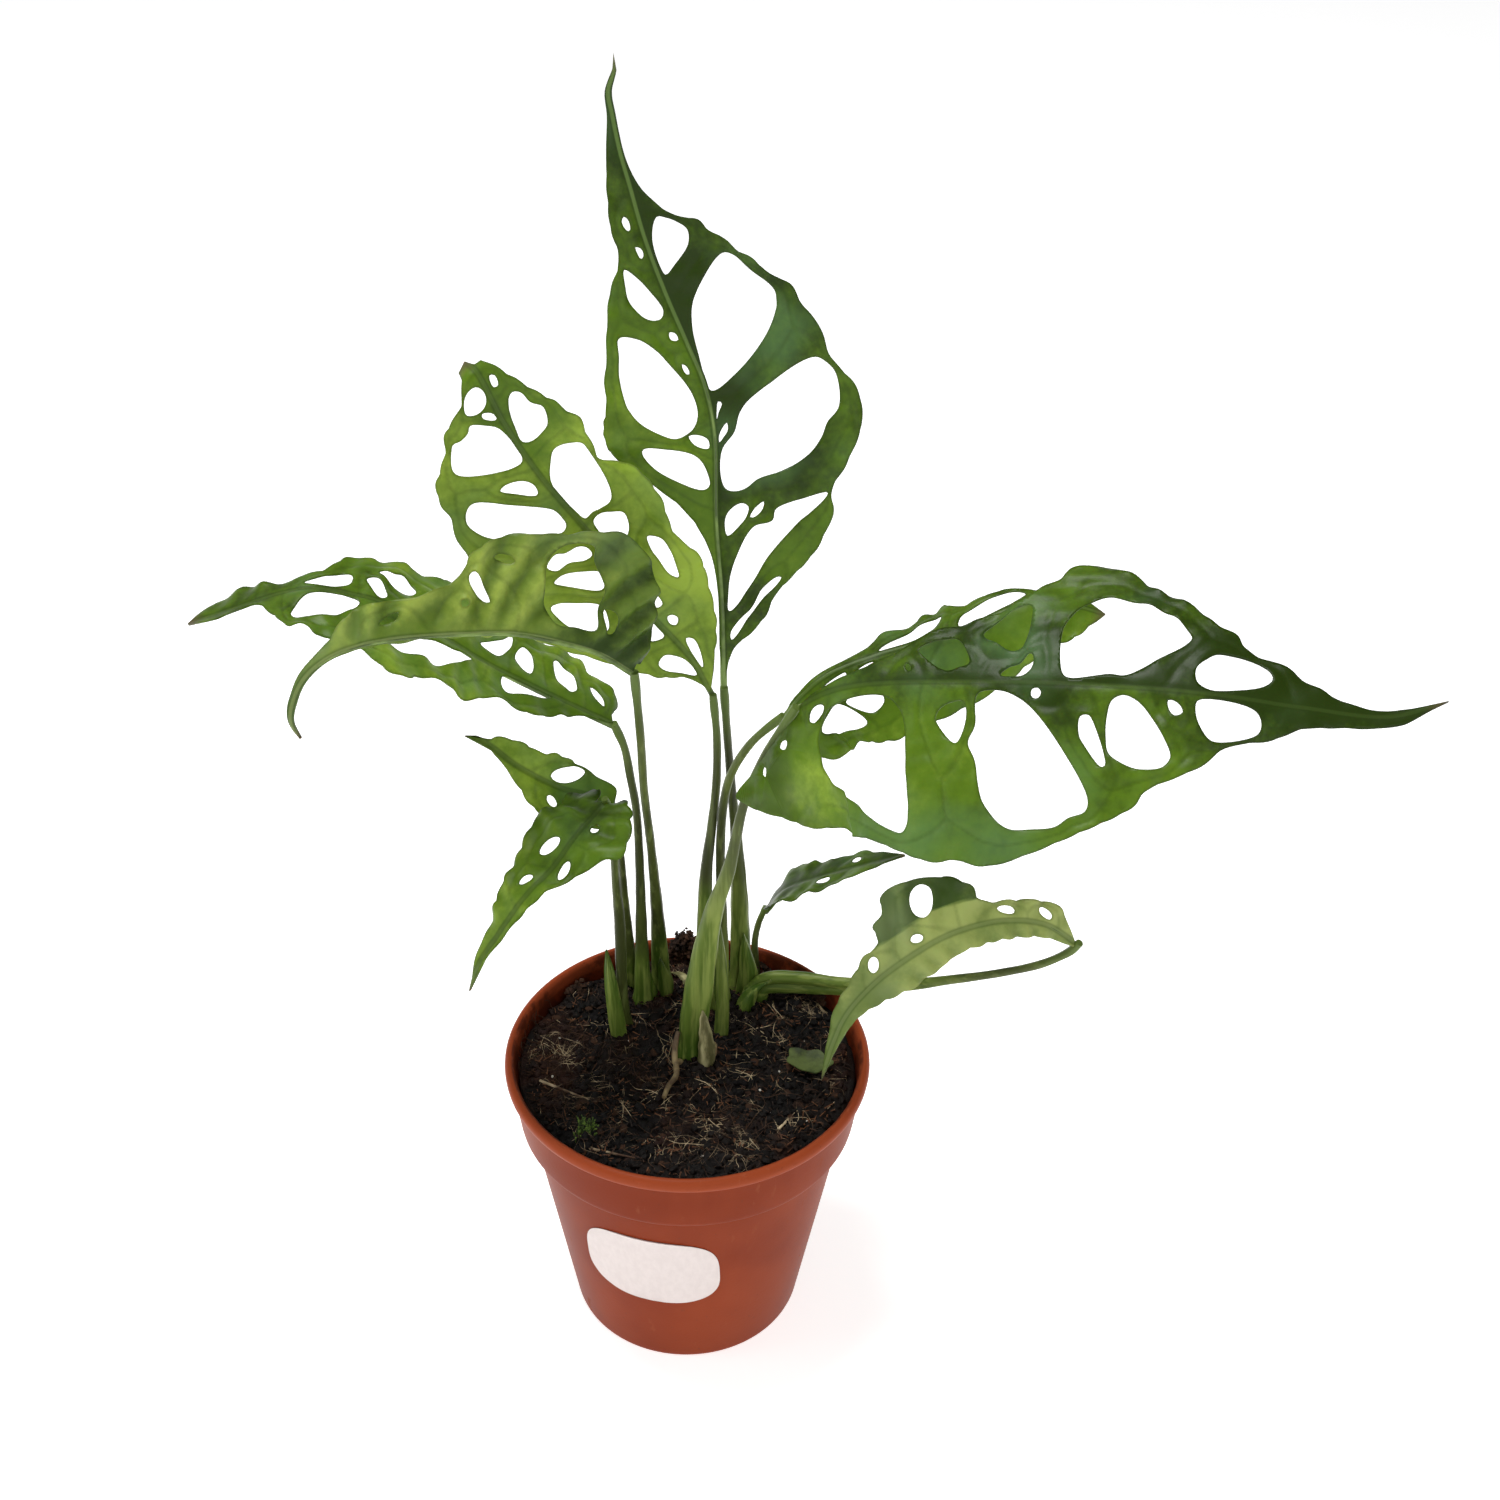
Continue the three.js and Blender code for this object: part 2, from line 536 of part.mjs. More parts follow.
      [136, -47, 277], [162, -50, 275], [185, -52, 274], [200, -50, 278],
    ],
    face: [[0.1, -0.5, 0.87], [0.1, -0.45, 0.9], [0.1, -0.4, 0.9]],
    fold: [[4, 10, 0], [-20, -22, -14]],
    bend: [[-3, -6, -2], [-2, -2, -2]],
    left: [
      [4.5, 1.2], [16, 3], [27.5, 7], [44, 16], [60, 22.5], [68.5, 27.5], [70.5, 30.5], [75.5, 34],
      [78.5, 38.5], [81.5, 40], [85.5, 40], [96.5, 36.5], [100.5, 33], [112.5, 27.5], [120.5, 21],
      [125, 19], [127, 16], [130.5, 13.5], [135.5, 12.5], [147, 6], [160, 2], [175, 1.2],
    ],
    right: [
      [-0.5, 2], [-33, 17.5], [-29.5, 21], [-6.5, 34.5], [4, 38], [6.5, 40.5], [23, 43], [44, 49],
      [48.5, 49.5], [52, 48.5], [61, 50], [71.5, 47], [98.5, 34], [102.5, 31], [104, 28],
      [118, 20], [125, 13.5], [136, 10], [143.5, 6], [176.5, 2],
    ],
    leftHoles: [
      [
        [39, 9.5], [41.5, 11.5], [45.5, 13], [49, 13.5], [54, 5.5], [51.5, 4], [48, 3], [42, 6.5],
      ],
      [
        [57, 14], [56.5, 15.5], [65, 23], [69, 24], [69.5, 19], [68, 10.5], [65, 9.5], [61.5, 11],
      ],
      [
        [63, 2], [65, 4.5], [68, 5.5], [70.5, 8.5], [71.5, 7.5], [71.5, 4.5], [69.5, 2], [66, 1.5],
      ],
      [
        [80, 2.5], [78.5, 13.5], [80, 19.5], [86.5, 27], [92, 27.5], [104, 24.5], [112, 18],
        [112.5, 16], [101, 6], [96, 3], [92, 3], [82, 1.5],
      ],
      [
        [115, 3], [114.5, 7], [117, 10], [120, 12], [130, 11.5], [134, 8.5], [134.5, 6.5],
        [132, 4], [122, 1.2], [118, 1.2],
      ],
      [[36, 5.5], [37.5, 4.5], [37.5, 3], [36, 4]],
    ],
    rightHoles: [
      [
        [3.5, 15], [4.5, 10.5], [8.5, 6.5], [14, 4.5], [20, 3.5], [30.5, 4], [34.5, 7], [36.5, 12],
        [38.5, 34], [38, 39.5], [36.5, 41.5], [33.5, 41], [14, 31], [4, 23],
      ],
      [[3, 6], [4, 3.5], [7, 2.5], [9.5, 3.5], [8, 5.5], [5, 7]],
      [
        [57.5, 3.5], [63, 2.5], [68.5, 4.5], [73, 8], [81.5, 18.5], [89, 31], [88.5, 34], [84, 36],
        [80.5, 38.5], [74, 39.5], [67, 39.5], [60.5, 33.5], [57.5, 21.5], [55.5, 17], [57, 12.5],
      ],
      [[46, 10.5], [48, 7], [53, 5.5], [54.5, 8.5], [52.5, 17], [50.5, 16.5]],
      [
        [85.5, 9], [87.5, 8.5], [88.5, 9.5], [92.5, 19], [93, 21.5], [92, 22], [87, 16.5],
        [85.5, 14],
      ],
      [
        [93.5, 4], [96, 2.5], [98.5, 3], [102, 5.5], [108, 13.5], [110, 18], [108, 21],
        [102.5, 22], [97, 20.5], [93.5, 18], [92.5, 13.5], [92.5, 8],
      ],
      [[108, 3], [109.5, 3], [111.5, 4.5], [112, 6], [110, 7], [108.5, 5.5]],
      [
        [115.5, 2.5], [118.5, 1.5], [130.5, 3], [132.5, 6], [132, 9], [123.5, 12.5], [120, 12.5],
        [117.5, 10], [115.5, 6],
      ],
      [[72, 2], [73.5, 1.5], [74.5, 3], [73.5, 4.5], [72, 4]],
      [[-19.5, 12.5], [-18.5, 13], [-19.5, 15.5], [-20.5, 14.5]],
      [[-10.5, 9.5], [-9, 8], [-7, 8.5], [-8.5, 10.5]],
    ],
  },
  leaf_f: {
    rib: [
      [28, 8, 231], [33, 9, 238], [41, 12, 244], [56, 16, 249], [77, 20, 254], [100, 24, 263],
      [114, 26, 261], [123, 25, 259],
    ],
    face: [[0.1, -0.5, 0.87], [0.1, -0.4, 0.9], [0.1, -0.4, 0.9]],
    fold: [[-24, -24, -20], [-20, -20, -15]],
    bend: [[-2, -2, -2], [-2, -2, -2]],
    left: [
      [4.5, 1.2], [30, 3.5], [35.5, 6], [39, 9], [46.5, 9.5], [52, 13.5], [55.5, 13.5], [59, 15],
      [62, 11], [71, 11], [75, 9], [78, 9], [82, 7], [91, 5.5], [96.5, 6], [101, 3],
    ],
    right: [
      [0.8, 3], [-3, 3.5], [-6.5, 6.5], [-6.5, 10.5], [2, 22], [12.5, 22], [33, 26], [50, 23.5],
      [91.5, 13], [99.5, 9], [104, 3.5],
    ],
    leftHoles: [
      [[35.5, 1.2], [44, 5.5], [54.5, 9.5], [57, 9.5], [53, 4.5], [48.5, 2], [43, 1.2]],
      [
        [60.5, 2], [63, 6], [68, 7], [80, 6.5], [82.5, 4.5], [78.5, 2], [73, 1.2], [62, 1.2],
      ],
    ],
    rightHoles: [
      [
        [3, 12], [9.5, 10], [15.5, 9], [18, 10.5], [24, 18], [18, 18.5], [10, 16.5], [3.5, 14],
      ],
      [[19.5, 10], [24.5, 9], [28, 9.5], [32, 11.5], [32, 14], [27.5, 16], [21, 12]],
      [[3, 6.5], [7, 5], [11.5, 5], [12.5, 7], [4, 8.5]],
      [[14.5, 3], [21, 2], [24, 2], [23, 3.5], [16, 4]],
      [[25.5, 4.5], [28, 2.5], [33, 2], [32, 3.5], [28.5, 5.5]],
    ],
  },
  leaf_g: {
    rib: [
      [-24, 14, 191], [-31, 16, 195], [-40, 17, 197], [-53, 18, 204], [-61, 17, 212],
      [-65, 16, 216], [-68, 14, 218],
    ],
    face: [[-0.2, -0.6, 0.77], [-0.2, -0.6, 0.77], [-0.3, -0.6, 0.7]],
    fold: [[4, 4, 0], [4, 4, 0]],
    bend: [[-2, -2, 0], [-2, -2, 0]],
    left: [[0.8, 2.5], [-1, 5], [2, 8], [15, 10], [21, 10], [28, 6.5], [36, 2.5], [43, 1.2]],
    right: [
      [0.8, 2.5], [3, 6], [8, 6.5], [13, 8.5], [23, 9.5], [28, 7.5], [36, 7], [43, 4.5], [47, 1.6],
    ],
    leftHoles: [oval(19, 5, 4, 2.4, -38)],
    rightHoles: [oval(17, 4.8, 9, 3.6, -25)],
  },
  leaf_h: {
    rib: [
      [-25, -2, 206], [-28, -8, 205], [-33, -15, 202], [-39, -22, 196], [-47, -29, 190],
      [-54, -34, 181], [-60, -37, 172], [-64, -38, 161],
    ],
    face: [[-0.5, -0.5, 0.7], [-0.5, -0.5, 0.7], [-0.6, -0.6, 0.3]],
    fold: [[-6, -6, 0], [0, 0, 0]],
    bend: [[-3, -3, 0], [-3, -3, 0]],
    left: [
      [0.5, 3], [-2, 6], [5, 12.5], [12, 16.5], [16, 15.5], [19, 12], [27, 7.5], [33, 5],
      [42, 3.5], [51, 2.5], [61, 1.5],
    ],
    right: [
      [0.5, 3], [-5, 5], [-5, 10], [-1, 14.5], [8, 18.5], [18, 17.5], [28, 14.5], [38, 10.5],
      [45, 8], [52, 5], [62, 2.5], [70, 1.2],
    ],
    leftHoles: [oval(26, 3.8, 6, 2.6, 10), oval(11, 4, 3, 2.4, -19)],
    rightHoles: [oval(22, 6, 8, 5, 25), oval(35, 4, 5, 2.6, 30)],
  },
  leaf_i: {
    rib: [[25, 52, 124], [31, 50, 134], [43, 46, 143], [56, 42, 151], [70, 38, 159]],
    face: [[0.1, 0, 1], [0, 0, 1], [0, 0, 1]],
    fold: [[4, 4, 4], [4, 4, 0]],
    bend: [[0, 0, 0], [0, 0, 0]],
    left: [[0.8, 2], [4, 8], [10, 11], [20, 10], [26, 8.5], [36, 7.5], [42, 8], [51, 4]],
    right: [[0.8, 2], [6, 7], [14, 11], [24, 11.5], [33, 9], [38, 9.5], [44, 6], [53, 3]],
    leftHoles: [oval(41, 3.4, 4, 2.6, -20)],
    rightHoles: [oval(30, 4, 5, 3, -20)],
  },
  leaf_j: {
    rib: [
      [123, 2, 152], [112, 0, 161], [97, -4, 165], [81, -10, 164], [69, -15, 159], [58, -19, 151],
      [50, -22, 141], [46, -23, 129], [43, -24, 115],
    ],
    face: [[0, -0.6, 0.8], [-0.1, -0.7, 0.7], [-0.4, -0.7, 0.5]],
    fold: [[-14, -14, 0], [10, 14, 8]],
    bend: [[-2, -3, 0], [-2, -2, 0]],
    left: [
      [0.5, 1.5], [13, 4], [31, 6], [45, 6.5], [55, 8], [65, 8.5], [74, 7], [85, 4], [96, 2.5],
      [105, 1.4],
    ],
    right: [
      [8, 5], [13, 7], [24, 6.5], [33, 6.5], [36, 8], [38, 13.5], [43, 17.5], [47, 18.5], [53, 21],
      [60, 20], [62, 15.5], [66, 14], [67, 9], [72, 8.5], [81, 5.5], [88, 4.5], [100, 2],
      [111, 1.4],
    ],
    leftHoles: [],
    rightHoles: [
      oval(72, 4.6, 5, 3.2, -51), oval(57, 3.6, 4, 2.6, 20), oval(28, 3.4, 6, 2.4, 12),
      oval(15, 3.4, 5, 2.6, 28), oval(51, 13, 10, 6, -75),
    ],
  },
};
for (const [name, leaf] of Object.entries(leaves)) {
  addNode(name + "_blade", blade(leaf), "leaf");
}

// Stems: petioles and their sheaths from below the soil to the blades; root and cut stub
const stems = {
  leaf_a_petiole: {
    radii: [2.6, 2.6, 2.1, 1.5, 1.3, 1.2],
    path: [
      [17, 40], [16.5, 37, 122], [15.5, 35, 149], [14.5, 33, 167], [12.5, 30, 192],
      [11, 27, 213], [10, 26, 228.2],
    ],
  },
  leaf_b_petiole: {
    radii: [2, 1.7, 1.9, 1.4, 1.3, 1.1],
    path: [
      [5, 26], [4.5, 25.5, 128], [5, 25, 160], [6.5, 24, 177], [8, 23, 197], [8, 22.5, 213],
      [6.8, 22, 228],
    ],
  },
  leaf_c_petiole: {
    radii: [2, 1.8, 1.5, 1.3, 1.3, 1.1],
    path: [
      [-16.5, 30], [-16.5, 28, 125], [-16.5, 23, 165], [-17, 19, 188], [-18.5, 16, 203],
      [-20, 14, 215], [-22.4, 12.2, 223.4],
    ],
  },
  leaf_d_petiole: {
    radii: [2.2, 1.9, 1.4, 1.3, 1.3, 1.2],
    path: [
      [-10.5, 38], [-11, 34, 123], [-11.5, 28, 145], [-12.5, 19, 174], [-14, 12, 200],
      [-14.5, 6, 224], [-15.6, 0.8, 248.6],
    ],
  },
  leaf_e_petiole: {
    radii: [3.2, 3.2, 2.8, 2.2, 1.7, 1.4, 1.4, 1.2],
    path: [
      [0.5, 4.5], [3, 3, 124], [5.5, 2, 146], [8.5, 0, 165], [12.5, -1, 180], [17, -4, 208],
      [23, -8, 228], [30.6, -11.6, 245.8],
    ],
  },
  leaf_f_petiole: {
    radii: [1.8, 1.7, 1.5, 1.4, 1.3, 1.1],
    path: [
      [10.5, 31], [10.5, 29, 124], [10, 27, 146], [9.5, 24, 169], [10.5, 19, 192], [13, 15, 206],
      [19, 11, 220], [27, 8.4, 230.2],
    ],
  },
  leaf_g_petiole: {
    radii: [2, 1.6, 1.2, 1.1, 1],
    path: [
      [-21.5, 38], [-21, 30, 125], [-21.5, 24, 148], [-22, 19, 168], [-22.5, 16, 180],
      [-23.6, 14.4, 189.6],
    ],
  },
  leaf_h_petiole: {
    radii: [2.4, 2.4, 1.8, 1.3, 1.2, 1],
    path: [
      [-22.5, 18], [-22.5, 15, 122], [-22.5, 12, 149], [-23, 7, 169], [-23, 2, 188],
      [-23.6, -1, 201], [-24.6, -1.8, 205.4],
    ],
  },
  leaf_i_petiole: {
    radii: [1.3, 1.2, 1.1, 1],
    path: [[22, 47], [21.5, 49, 112], [22.6, 51, 118], [24.4, 51.9, 123]],
  },
  leaf_j_petiole: {
    radii: [2, 2, 1.9, 1.7, 1.4, 1.3, 1.3, 1.2],
    path: [
      [22, 33], [22.4, 33, 103.5], [26, 33, 106.5], [36, 32.5, 107.5], [52.5, 28, 110],
      [70.5, 22, 116], [86, 16, 124], [101.5, 10, 132.5], [114, 5, 141], [121.6, 3.2, 147.6],
      [123.4, 2.2, 151],
    ],
  },
  aerial_root: {
    radii: [1.1, 1, 0.9, 0.7],
    path: [
      [-2.4, -1], [-3.6, -4, 102.4], [-3.4, -8.5, 101.5], [-5.6, -13, 101.3], [-7, -18.6, 101.3],
    ],
  },
  cut_stub: {
    radii: [2, 2, 1.8],
    path: [[7.4, 2.6], [7.6, 2.4, 102], [7.8, 2.2, 105.5]],
  },
};
const barkNodes = ["aerial_root", "cut_stub"];
const sockets = [];
for (const [name, { path, radii }] of Object.entries(stems)) {
  const [x, y] = path[0];
  const foot = SOIL_TOP - STEM_DEPTH;
  const points = [[x, y, foot], [x, y, foot + 3], [x, y, SOIL_TOP + 0.6], ...path.slice(1)];
  const leaf = leaves[name.replace("_petiole", "")];
  if (leaf) {
    const base = new THREE.Vector3(...leaf.rib[0]);
    const way = bladeSurface(leaf).tangent;
    const near = base.clone().addScaledVector(way, -BUTT_GAP - 3);
    points.splice(-1, 1, near.toArray(), base.addScaledVector(way, -BUTT_GAP).toArray());
  }
  const reach = points[points.length - 1][2] - SOIL_TOP;
  const rings = barkNodes.includes(name) ? 12 : Math.min(16, 8 + Math.round(reach / 14));
  addNode(name, tube(points, radii, rings, 6), barkNodes.includes(name) ? "bark" : "petiole");
  sockets.push(pin(x, y, radii[0] * 1.03 + STEM_CLEARANCE, foot - 0.2, SOIL_TOP + 5));
}

// Soil filling the pot, with a plain hole for each stem
const soilProfile = [
  [0, WALL + SOIL_GAP],
  [BASE_RADIUS - WALL - 2.2, WALL + SOIL_GAP],
  [BASE_RADIUS - WALL - 0.5, 3],
  [50.6, collarZ - 1],
  [53.9, collarZ + 1],
  [55.4, SOIL_TOP - 2.4],
  [52, SOIL_TOP - 0.6],
  [46, SOIL_TOP],
  [0, SOIL_TOP],
];
const soilBody = turnedBody(soilProfile, 48).subtract(wasm.Manifold.union(sockets));
addNode("soil", fromSolid(soilBody), "peat");

// Withered scrap of leaf lying on the soil
const scrapPoints = [[-6, 0], [-3, 3], [2, 3.4], [6, 1], [4, -2], [0, -3], [-4, -2.4]];
const scrapRing = scrapPoints.map((p) => new THREE.Vector2(...p));
const scrapFlat = THREE.ShapeUtils.triangulateShape(scrapRing, []);
const scrapFaces = refine(scrapPoints, scrapFlat, 5).map(([a, b, c]) => [a, c, b]);
const onSoil = (u, v) => {
  const point = new THREE.Vector3(40 + u, -5 - v, SOIL_TOP + 0.8 + 0.03 * u * u);
  return { point, normal: new THREE.Vector3(-0.06 * u, 0, 1).normalize() };
};
addNode("soil_leaf_scrap", sheet(scrapPoints, scrapFaces, onSoil, 0.8), "leaf");

export default group;
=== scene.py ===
"""Potted monstera obliqua: a ten-leaf plant in a round nursery pot, built round its frame."""
import math
import random

import bpy
import numpy as np
from mathutils import Matrix, Vector, noise
from mathutils.geometry import delaunay_2d_cdt


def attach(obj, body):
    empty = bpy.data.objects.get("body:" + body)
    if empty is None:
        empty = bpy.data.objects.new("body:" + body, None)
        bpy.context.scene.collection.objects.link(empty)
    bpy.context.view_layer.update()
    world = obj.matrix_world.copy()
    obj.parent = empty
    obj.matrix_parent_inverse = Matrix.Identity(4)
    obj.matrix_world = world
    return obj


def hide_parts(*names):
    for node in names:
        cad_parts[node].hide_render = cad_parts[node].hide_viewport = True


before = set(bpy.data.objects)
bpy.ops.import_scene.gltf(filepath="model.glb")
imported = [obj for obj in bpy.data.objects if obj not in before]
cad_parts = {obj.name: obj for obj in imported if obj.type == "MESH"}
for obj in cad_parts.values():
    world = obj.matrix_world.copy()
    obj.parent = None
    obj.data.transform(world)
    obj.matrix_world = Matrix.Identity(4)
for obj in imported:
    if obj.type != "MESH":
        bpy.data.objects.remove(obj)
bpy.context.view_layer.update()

# The pot is one moulded shell of soft terracotta-coloured plastic: a tapered body, a straight
# collar that stands out from it, a rolled rim, and six drain holes in the floor it stands on.
# All sizes are in millimetres, from the centre of its underside.
MM = 0.001
WALL = 1.5
BASE_RADIUS = 39.2
BASE_ROUNDING = 2
BODY_TOP_RADIUS = 52.5
BODY_TOP = 79
DRAIN_HOLES = 6
DRAIN_CIRCLE = 26
DRAIN_RADIUS = 4
DRAIN_SEGMENTS = 24
POT_SEGMENTS = 144
INNER_LEAN = 0.12


def linear(code):
    """Shader colour for a screen colour written as six hex digits."""
    parts = [int(code[i : i + 2], 16) / 255 for i in (0, 2, 4)]
    return [c / 12.92 if c < 0.04045 else ((c + 0.055) / 1.055) ** 2.4 for c in parts] + [1]


class Finish:
    """A surface finish: one material, its shader, and short ways to add the nodes that feed it."""

    def __init__(self, name, colour, roughness, **fixed):
        self.material = bpy.data.materials.new(name)
        self.material.use_nodes = True
        self.tree = self.material.node_tree
        self.shader = self.tree.nodes["Principled BSDF"]
        self.tone = linear(colour)
        self.shader.inputs["Base Color"].default_value = self.tone
        self.shader.inputs["Roughness"].default_value = roughness
        for socket, value in fixed.items():
            words = socket.replace("_", " ").title().replace("Ior", "IOR")
            self.shader.inputs[words].default_value = value

    def node(self, kind, inputs, **settings):
        made = self.tree.nodes.new("ShaderNode" + kind)
        for key, value in settings.items():
            setattr(made, key, value)
        for key, value in inputs.items():
            if isinstance(value, bpy.types.NodeSocket):
                self.tree.links.new(value, made.inputs[key])
            else:
                made.inputs[key].default_value = value
        return made

    def feed(self, socket, value):
        self.tree.links.new(value, self.shader.inputs[socket])

    def stored(self, name):
        """The three numbers that a piece's mesh stores at each point under this name."""
        made = self.node("Attribute", {}, attribute_type="GEOMETRY", attribute_name=name)
        return self.node("SeparateXYZ", {0: made.outputs["Vector"]}).outputs

    def place(self):
        return self.node("TexCoord", {}).outputs["Object"]

    def grain(self, scale, detail=4, stretch=(1, 1, 1), seed=0):
        """Noise from 0 to 1 in frame coordinates, with the given number of waves to the metre."""
        moved = {"Vector": self.place(), "Scale": stretch, "Location": (seed, 0, 0)}
        spot = self.node("Mapping", moved).outputs[0]
        wanted = {"Vector": spot, "Scale": scale, "Detail": detail, "Roughness": 0.6}
        return self.node("TexNoise", wanted).outputs["Fac"]

    def sum(self, a, b, operation="ADD"):
        return self.node("Math", {0: a, 1: b}, operation=operation).outputs[0]

    def times(self, a, b):
        return self.sum(a, b, "MULTIPLY")

    def span(self, value, low, high, start=0, end=1):
        """Start where the value is low, end where it is high, and an even change between."""
        wanted = {"Value": value, "From Min": low, "From Max": high, "To Min": start, "To Max": end}
        return self.node("MapRange", wanted, interpolation_type="SMOOTHSTEP").outputs[0]

    def mix(self, share, a, b):
        """Colour a turning into colour b as the share goes from 0 to 1."""
        a, b = (linear(c) if isinstance(c, str) else c for c in (a, b))
        return self.node("Mix", {0: share, 6: a, 7: b}, data_type="RGBA").outputs[2]

    def tint(self, share, colour):
        """Lays a colour over those that are there, as thickly as the share says."""
        self.tone = self.mix(share, self.tone, colour)
        self.feed("Base Color", self.tone)

    def coat(self, colour, value, low=0.35, high=0.65, start=0, end=1):
        """Lays a colour on as the value goes from low to high."""
        self.tint(self.span(value, low, high, start, end), colour)

    def relief(self, height, depth):
        """Fine relief of the given depth in millimetres, where the height goes from 0 to 1."""
        wanted = {"Height": height, "Distance": depth * MM, "Strength": 1}
        self.feed("Normal", self.node("Bump", wanted).outputs[0])


def make_piece(name, shape, finishes, replaces=(), crease=50, finish_of=None):
    """Builds a piece from its points in millimetres, faces and stored numbers, and mounts it."""
    points, faces, *stored = shape
    mesh = bpy.data.meshes.new(name)
    points = np.asarray(points, float) * MM
    mesh.from_pydata(points.tolist(), [], [[int(i) for i in f] for f in faces])
    for finish in finishes:
        mesh.materials.append(finish.material)
    if finish_of is not None:
        mesh.polygons.foreach_set("material_index", finish_of)
    for numbers in stored:
        for key, values in numbers.items():
            layer = mesh.attributes.new(key, "FLOAT_VECTOR", "POINT")
            layer.data.foreach_set("vector", np.asarray(values, np.float32).ravel())
    mesh.shade_smooth()
    mesh.set_sharp_from_angle(angle=math.radians(crease))
    piece = bpy.data.objects.new(name, mesh)
    bpy.context.scene.collection.objects.link(piece)
    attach(piece, "root")
    if replaces:
        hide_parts(*replaces)


def is_inside(spots, *loops):
    """Which of the flat spots lie inside the first loop and outside the others."""
    found = []
    for loop in loops:
        loop = np.asarray(loop, float)
        inside = np.zeros(len(spots), bool)
        for (x0, y0), (x1, y1) in zip(loop, np.roll(loop, -1, axis=0)):
            if y0 == y1:
                continue
            crosses = (spots[:, 1] < y0) != (spots[:, 1] < y1)
            inside ^= crosses & (spots[:, 0] < x0 + (x1 - x0) * (spots[:, 1] - y0) / (y1 - y0))
        found.append(inside)
    return found[0] & ~np.any(found[1:], axis=0) if found[1:] else found[0]


def fill_flat(loops, inner=()):
    """Points and triangles that fill the first loop, less the others, through the inner points."""
    flat = [tuple(p) for loop in [*loops, inner] for p in loop]
    edges = []
    start = 0
    for loop in loops:
        size = len(loop)
        edges += [(start + i, start + (i + 1) % size) for i in range(size)]
        start += size
    made = delaunay_2d_cdt([Vector(p) for p in flat], edges, [], 0, 1e-5)
    points = np.array([tuple(p) for p in made[0]])
    faces = np.array(made[2])
    faces = faces[is_inside(points[faces].mean(axis=1), *loops)]
    a, b, c = (points[faces[:, i]] for i in range(3))
    (bx, by), (cx, cy) = (b - a).T, (c - a).T
    right_turn = bx * cy <= by * cx
    faces[right_turn] = faces[right_turn][:, ::-1]
    return points, faces


def turns(count):
    return np.arange(count) * 2 * math.pi / count


def circle(radius, count, x=0, y=0):
    turn = turns(count)
    return np.column_stack([x + radius * np.cos(turn), y + radius * np.sin(turn)])


def quads(rows, count, start=0, closed=True):
    """Faces between neighbouring rows of points, where each row is a ring or stays open."""
    return [
        (a + j, a + (j + 1) % count, a + count + (j + 1) % count, a + count + j)
        for a in range(start, start + (rows - 1) * count, count)
        for j in range(count if closed else count - 1)
    ]


def body_radius(z):
    """Outer radius of the pot's tapered body at a height."""
    return BASE_RADIUS + (BODY_TOP_RADIUS - BASE_RADIUS) * (z - BASE_ROUNDING) / BODY_TOP


def pot_outline():
    """The pot's wall from the edge of its underside, over the rim, to the edge of its floor."""
    foot = [(36.4, 0), (37.6, 0.1), (38.4, 0.5), (38.9, 1.1), (BASE_RADIUS, BASE_ROUNDING)]
    body = [(body_radius(z), z) for z in (3, 8, 14, 20, 30, 40, 50, 60, 70, 78, 80.2)]
    step = [(52.6, 80.8), (53.2, 81.2), (54.9, 81.6), (55.5, 81.9), (55.8, 82.5), (56, 83.6)]
    collar = [(56.6, 88), (57.2, 93.5), (57.7, 98.4), (57.9, 99.7), (58.2, 100.2), (59, 100.4)]
    rim = [(59.6, 100.9), (59.9, 101.7), (60, 102.6), (59.9, 103.5), (59.6, 104.2), (59, 104.7)]
    lip = [(58.2, 105), (57.5, 104.8), (57, 104.3), (56.7, 103.4), (56.4, 100), (55.3, 91)]
    inside = [(54.4, 83.6), (53.9, 82.4), (51.6, 81.4), (51, 80.4), (44.4, 42), (38, 4.6)]
    return foot + body + step + collar + rim + lip + inside + [(37.4, 2.7), (36.4, WALL)]


def make_pot():
    """The wall turned round the upright axis, and a floor with its drain holes."""
    outline = pot_outline()
    layers = [(circle(r, POT_SEGMENTS), z) for r, z in outline]
    faces = quads(len(outline), POT_SEGMENTS)
    middles = circle(DRAIN_CIRCLE, DRAIN_HOLES)
    holes = [circle(DRAIN_RADIUS, DRAIN_SEGMENTS, x, y) for x, y in middles]
    floor, floor_faces = fill_flat([layers[0][0], *holes])
    start = len(outline) * POT_SEGMENTS
    faces += [tuple(f[::-1] + start) for f in floor_faces]
    faces += [tuple(f + start + len(floor)) for f in floor_faces]
    start += 2 * len(floor)
    for i in range(DRAIN_HOLES):
        walls = quads(2, DRAIN_SEGMENTS, start + 2 * i * DRAIN_SEGMENTS)
        faces += [(b, a, d, c) for a, b, c, d in walls]
    layers += [(flat, z) for flat in [floor, *holes] for z in (0, WALL)]
    return np.vstack([np.column_stack([flat, np.full(len(flat), z)]) for flat, z in layers]), faces


terracotta = Finish("terracotta_plastic", "7c2f14", 0.42, specular_ior_level=0.12, ior=1.3)
spot = terracotta.place()
rise = terracotta.node("SeparateXYZ", {0: spot}).outputs[2]
terracotta.coat("8e3c1d", terracotta.grain(14, 3), 0.35, 0.7)
terracotta.coat("9c4627", terracotta.grain(30, 5, stretch=(1, 1, 0.12)), 0.5, 0.8, end=0.35)
# The top of the rim is painted lighter: a painted highlight.
terracotta.coat("b05533", rise, 0.0995, 0.101, end=0.45)
scuffs = terracotta.span(terracotta.grain(260, 6, stretch=(1, 1, 0.3)), 0.62, 0.74)
terracotta.tint(terracotta.times(scuffs, 0.16), "b0745a")
terracotta.coat("5f3322", terracotta.grain(700, 3, seed=4), 0.66, 0.7, end=0.35)
